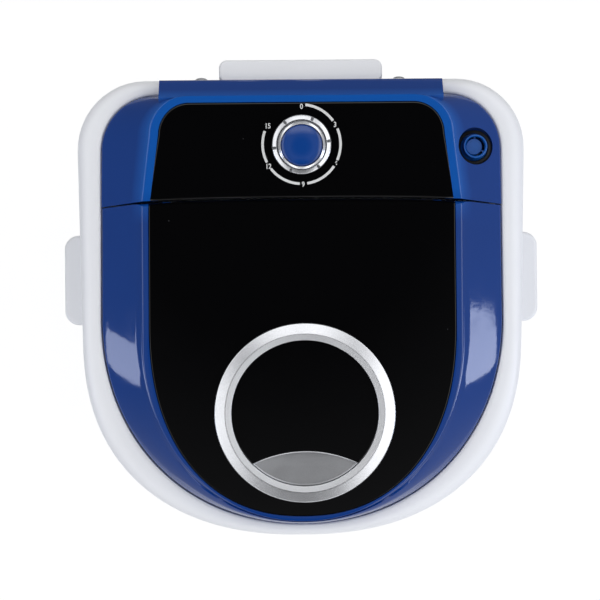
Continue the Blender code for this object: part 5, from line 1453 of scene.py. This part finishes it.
class WASHER_OT_stage(bpy.types.Operator):
    """Sets the white floor, the soft light from both sides and the camera straight above"""
    bl_idname = "washer.stage"
    bl_label = "Stage"

    def execute(self, context):
        context.scene.view_settings.view_transform = "Standard"
        self.floor()
        self.world()
        self.window("left_window", -1, 0.32, 3.3)
        self.window("right_window", 1, 0.39, 5.1)
        self.camera()
        return {"FINISHED"}

    @staticmethod
    def floor():
        """A matt white floor that glows only where a camera, glossy or transmission ray looks."""
        pick()
        bpy.ops.mesh.primitive_circle_add(vertices=96, radius=0.80, fill_type="NGON")
        floor = bpy.context.object
        floor.name = "studio_floor"
        # A sheet of white studio paper: matt, and lit from below so that no edge shows
        made = bpy.data.materials.new("Matt white floor")
        made.use_nodes = True
        tree = made.node_tree
        shader = tree.nodes["Principled BSDF"]
        shader.inputs["Base Color"].default_value = (0.80, 0.80, 0.81, 1)
        shader.inputs["Roughness"].default_value = 0.9
        rays = add_node(tree, "ShaderNodeLightPath").outputs
        seen = rays["Is Camera Ray"]
        for ray in ("Is Glossy Ray", "Is Transmission Ray"):
            seen = worked(tree, "MAXIMUM", seen, rays[ray])
        glow = add_node(tree, "ShaderNodeEmission", {"Color": (1, 1, 1, 1), "Strength": 1.08})
        both = add_node(tree, "ShaderNodeMixShader", {0: 0.82},
                        {1: shader.outputs[0], 2: glow.outputs[0]})
        ending = add_node(tree, "ShaderNodeMixShader", links={
            0: seen, 1: shader.outputs[0], 2: both.outputs[0]})
        tree.links.new(ending.outputs[0], tree.nodes["Material Output"].inputs["Surface"])
        floor.data.materials.append(made)

    @staticmethod
    def world():
        """A studio's surroundings: soft boxes over both sides and behind, and dim walls.

        The ceiling round the camera is dark, as the black panels show it.
        """
        world = bpy.data.worlds.new("Studio surroundings")
        bpy.context.scene.world = world
        world.use_nodes = True
        tree = world.node_tree
        tree.nodes.clear()
        way = add_node(tree, "ShaderNodeTexCoord").outputs["Generated"]
        axes = add_node(tree, "ShaderNodeSeparateXYZ", links={0: way}).outputs

        def product(first, *masks):
            """A strength times masks, each a source and the ends between which it changes."""
            for mask in masks:
                first = worked(tree, "MULTIPLY", first, remap(tree, *mask))
            return first

        up = worked(tree, "MAXIMUM", axes["Z"], 0.02)
        across = worked(tree, "DIVIDE", axes["X"], up)
        along = worked(tree, "DIVIDE", axes["Y"], up)
        side = worked(tree, "ABSOLUTE", worked(tree, "ADD", across, 0.03), 0.0)
        boxes = product(remap(tree, side, 0.54, 0.68, 0.0, 1.70), (side, 1.1, 1.4, 1.0, 0.0),
                        (along, -1.7, -0.6, 0.85, 1.0), (along, 0.25, 0.9, 1.0, 0.70),
                        (across, -1.0, 1.0, 0.93, 1.12))
        behind = product(remap(tree, along, 0.06, 0.24, 0.0, 1.50), (along, 0.7, 1.0, 1.0, 0.0),
                         (side, 0.25, 0.60, 1.0, 0.0))
        walls = remap(tree, axes["X"], -0.8, 0.8, 0.22, 0.35)
        for centre, edge, core, dark in ((Vector((0, -0.22, 0.9755)), 0.955, 0.995, 0.04),
                                         (Vector((0, -0.70, 0.714)), 0.960, 0.992, 0.10)):
            near = add_node(tree, "ShaderNodeVectorMath", {1: centre}, {0: way},
                            operation="DOT_PRODUCT").outputs["Value"]
            walls = product(walls, (near, edge, core, 1.0, dark))
        front = product(remap(tree, axes["Y"], -0.9, -0.4, 0.48, 0.0),
                        (axes["Z"], 0.2, 0.5, 1.0, 0.0))
        strength = worked(tree, "ADD", worked(tree, "ADD", walls, front),
                          worked(tree, "MAXIMUM", boxes, behind))
        light = add_node(tree, "ShaderNodeBackground", {"Color": (0.985, 0.99, 1.0, 1)},
                         {"Strength": strength})
        white = add_node(tree, "ShaderNodeBackground", {"Color": (1, 1, 1, 1), "Strength": 1.0})
        camera_ray = add_node(tree, "ShaderNodeLightPath").outputs["Is Camera Ray"]
        ending = add_node(tree, "ShaderNodeMixShader", links={
            0: camera_ray, 1: light.outputs[0], 2: white.outputs[0]})
        add_node(tree, "ShaderNodeOutputWorld", links={"Surface": ending.outputs[0]})

    @staticmethod
    def window(name, side, width, power):
        """A soft box low at one side and a little in front, which the blue slopes mirror."""
        pick()
        spot = Vector((side * WINDOW_REACH * math.cos(WINDOW_BEARING),
                       -WINDOW_REACH * math.sin(WINDOW_BEARING), WINDOW_HEIGHT))
        turn = (RIM_MIDDLE - spot).to_track_quat("-Z", "Y").to_matrix()
        turn = turn @ Matrix.Rotation(side * WINDOW_ROLL, 3, "Z")
        bpy.ops.object.light_add(type="AREA", location=spot, rotation=turn.to_euler())
        lamp = bpy.context.object
        lamp.name = name
        lamp.data.shape = "RECTANGLE"
        lamp.data.size = width
        lamp.data.size_y = WINDOW_LENGTH
        lamp.data.energy = power
        lamp.data.color = WINDOW_COLOUR

    @staticmethod
    def camera():
        pick()
        bpy.ops.object.camera_add(location=CAMERA_AT)
        camera = bpy.context.object
        camera.name = "top_camera"
        aim = CAMERA_AIM - CAMERA_AT
        turn = Matrix.Rotation(math.atan2(-aim.x, -aim.z), 3, "Y")
        camera.rotation_euler = (turn @ Matrix.Rotation(CAMERA_ROLL, 3, "Z")).to_euler()
        camera.data.sensor_width = SENSOR_WIDTH
        camera.data.lens = FOCAL_LENGTH
        bpy.context.scene.camera = camera


class WASHER_PT_panel(bpy.types.Panel):
    """Lists the steps that build the washing machine, and its sizes and colours"""
    bl_idname = "WASHER_PT_panel"
    bl_label = "Washing machine"
    bl_space_type = "VIEW_3D"
    bl_region_type = "UI"
    bl_category = "Washing machine"

    def draw(self, context):
        layout = self.layout
        for step in STEPS:
            layout.operator(step.bl_idname)
        for name, group in SETTINGS.items():
            values = getattr(context.scene, name)
            box = layout.box()
            box.label(text=group.__doc__)
            for prop in group.__annotations__:
                box.prop(values, prop)


SETTINGS = {
    "washer_body": WasherBodySizes,
    "washer_lid": WasherLidSizes,
    "washer_control": WasherControlSizes,
    "washer_fitting": WasherFittingSizes,
    "washer_colours": WasherColours,
}

STEPS = (
    WASHER_OT_casing, WASHER_OT_console, WASHER_OT_dial, WASHER_OT_knob, WASHER_OT_inlet,
    WASHER_OT_lid, WASHER_OT_trim, WASHER_OT_grips, WASHER_OT_back, WASHER_OT_deck,
    WASHER_OT_tub, WASHER_OT_base, WASHER_OT_works, WASHER_OT_stage,
)


def register():
    for group in SETTINGS.values():
        bpy.utils.register_class(group)
    for name, group in SETTINGS.items():
        setattr(bpy.types.Scene, name, bpy.props.PointerProperty(type=group))
    for step in STEPS:
        bpy.utils.register_class(step)
    bpy.utils.register_class(WASHER_PT_panel)


def unregister():
    bpy.utils.unregister_class(WASHER_PT_panel)
    for step in reversed(STEPS):
        bpy.utils.unregister_class(step)
    for name, group in reversed(SETTINGS.items()):
        delattr(bpy.types.Scene, name)
        bpy.utils.unregister_class(group)


def main():
    register()
    bpy.ops.washer.casing()
    bpy.ops.washer.console()
    bpy.ops.washer.dial()
    bpy.ops.washer.knob()
    bpy.ops.washer.inlet()
    bpy.ops.washer.lid()
    bpy.ops.washer.trim()
    bpy.ops.washer.grips()
    bpy.ops.washer.back()
    bpy.ops.washer.deck()
    bpy.ops.washer.tub()
    bpy.ops.washer.base()
    bpy.ops.washer.works()
    bpy.ops.washer.stage()


if __name__ == "__main__":
    main()
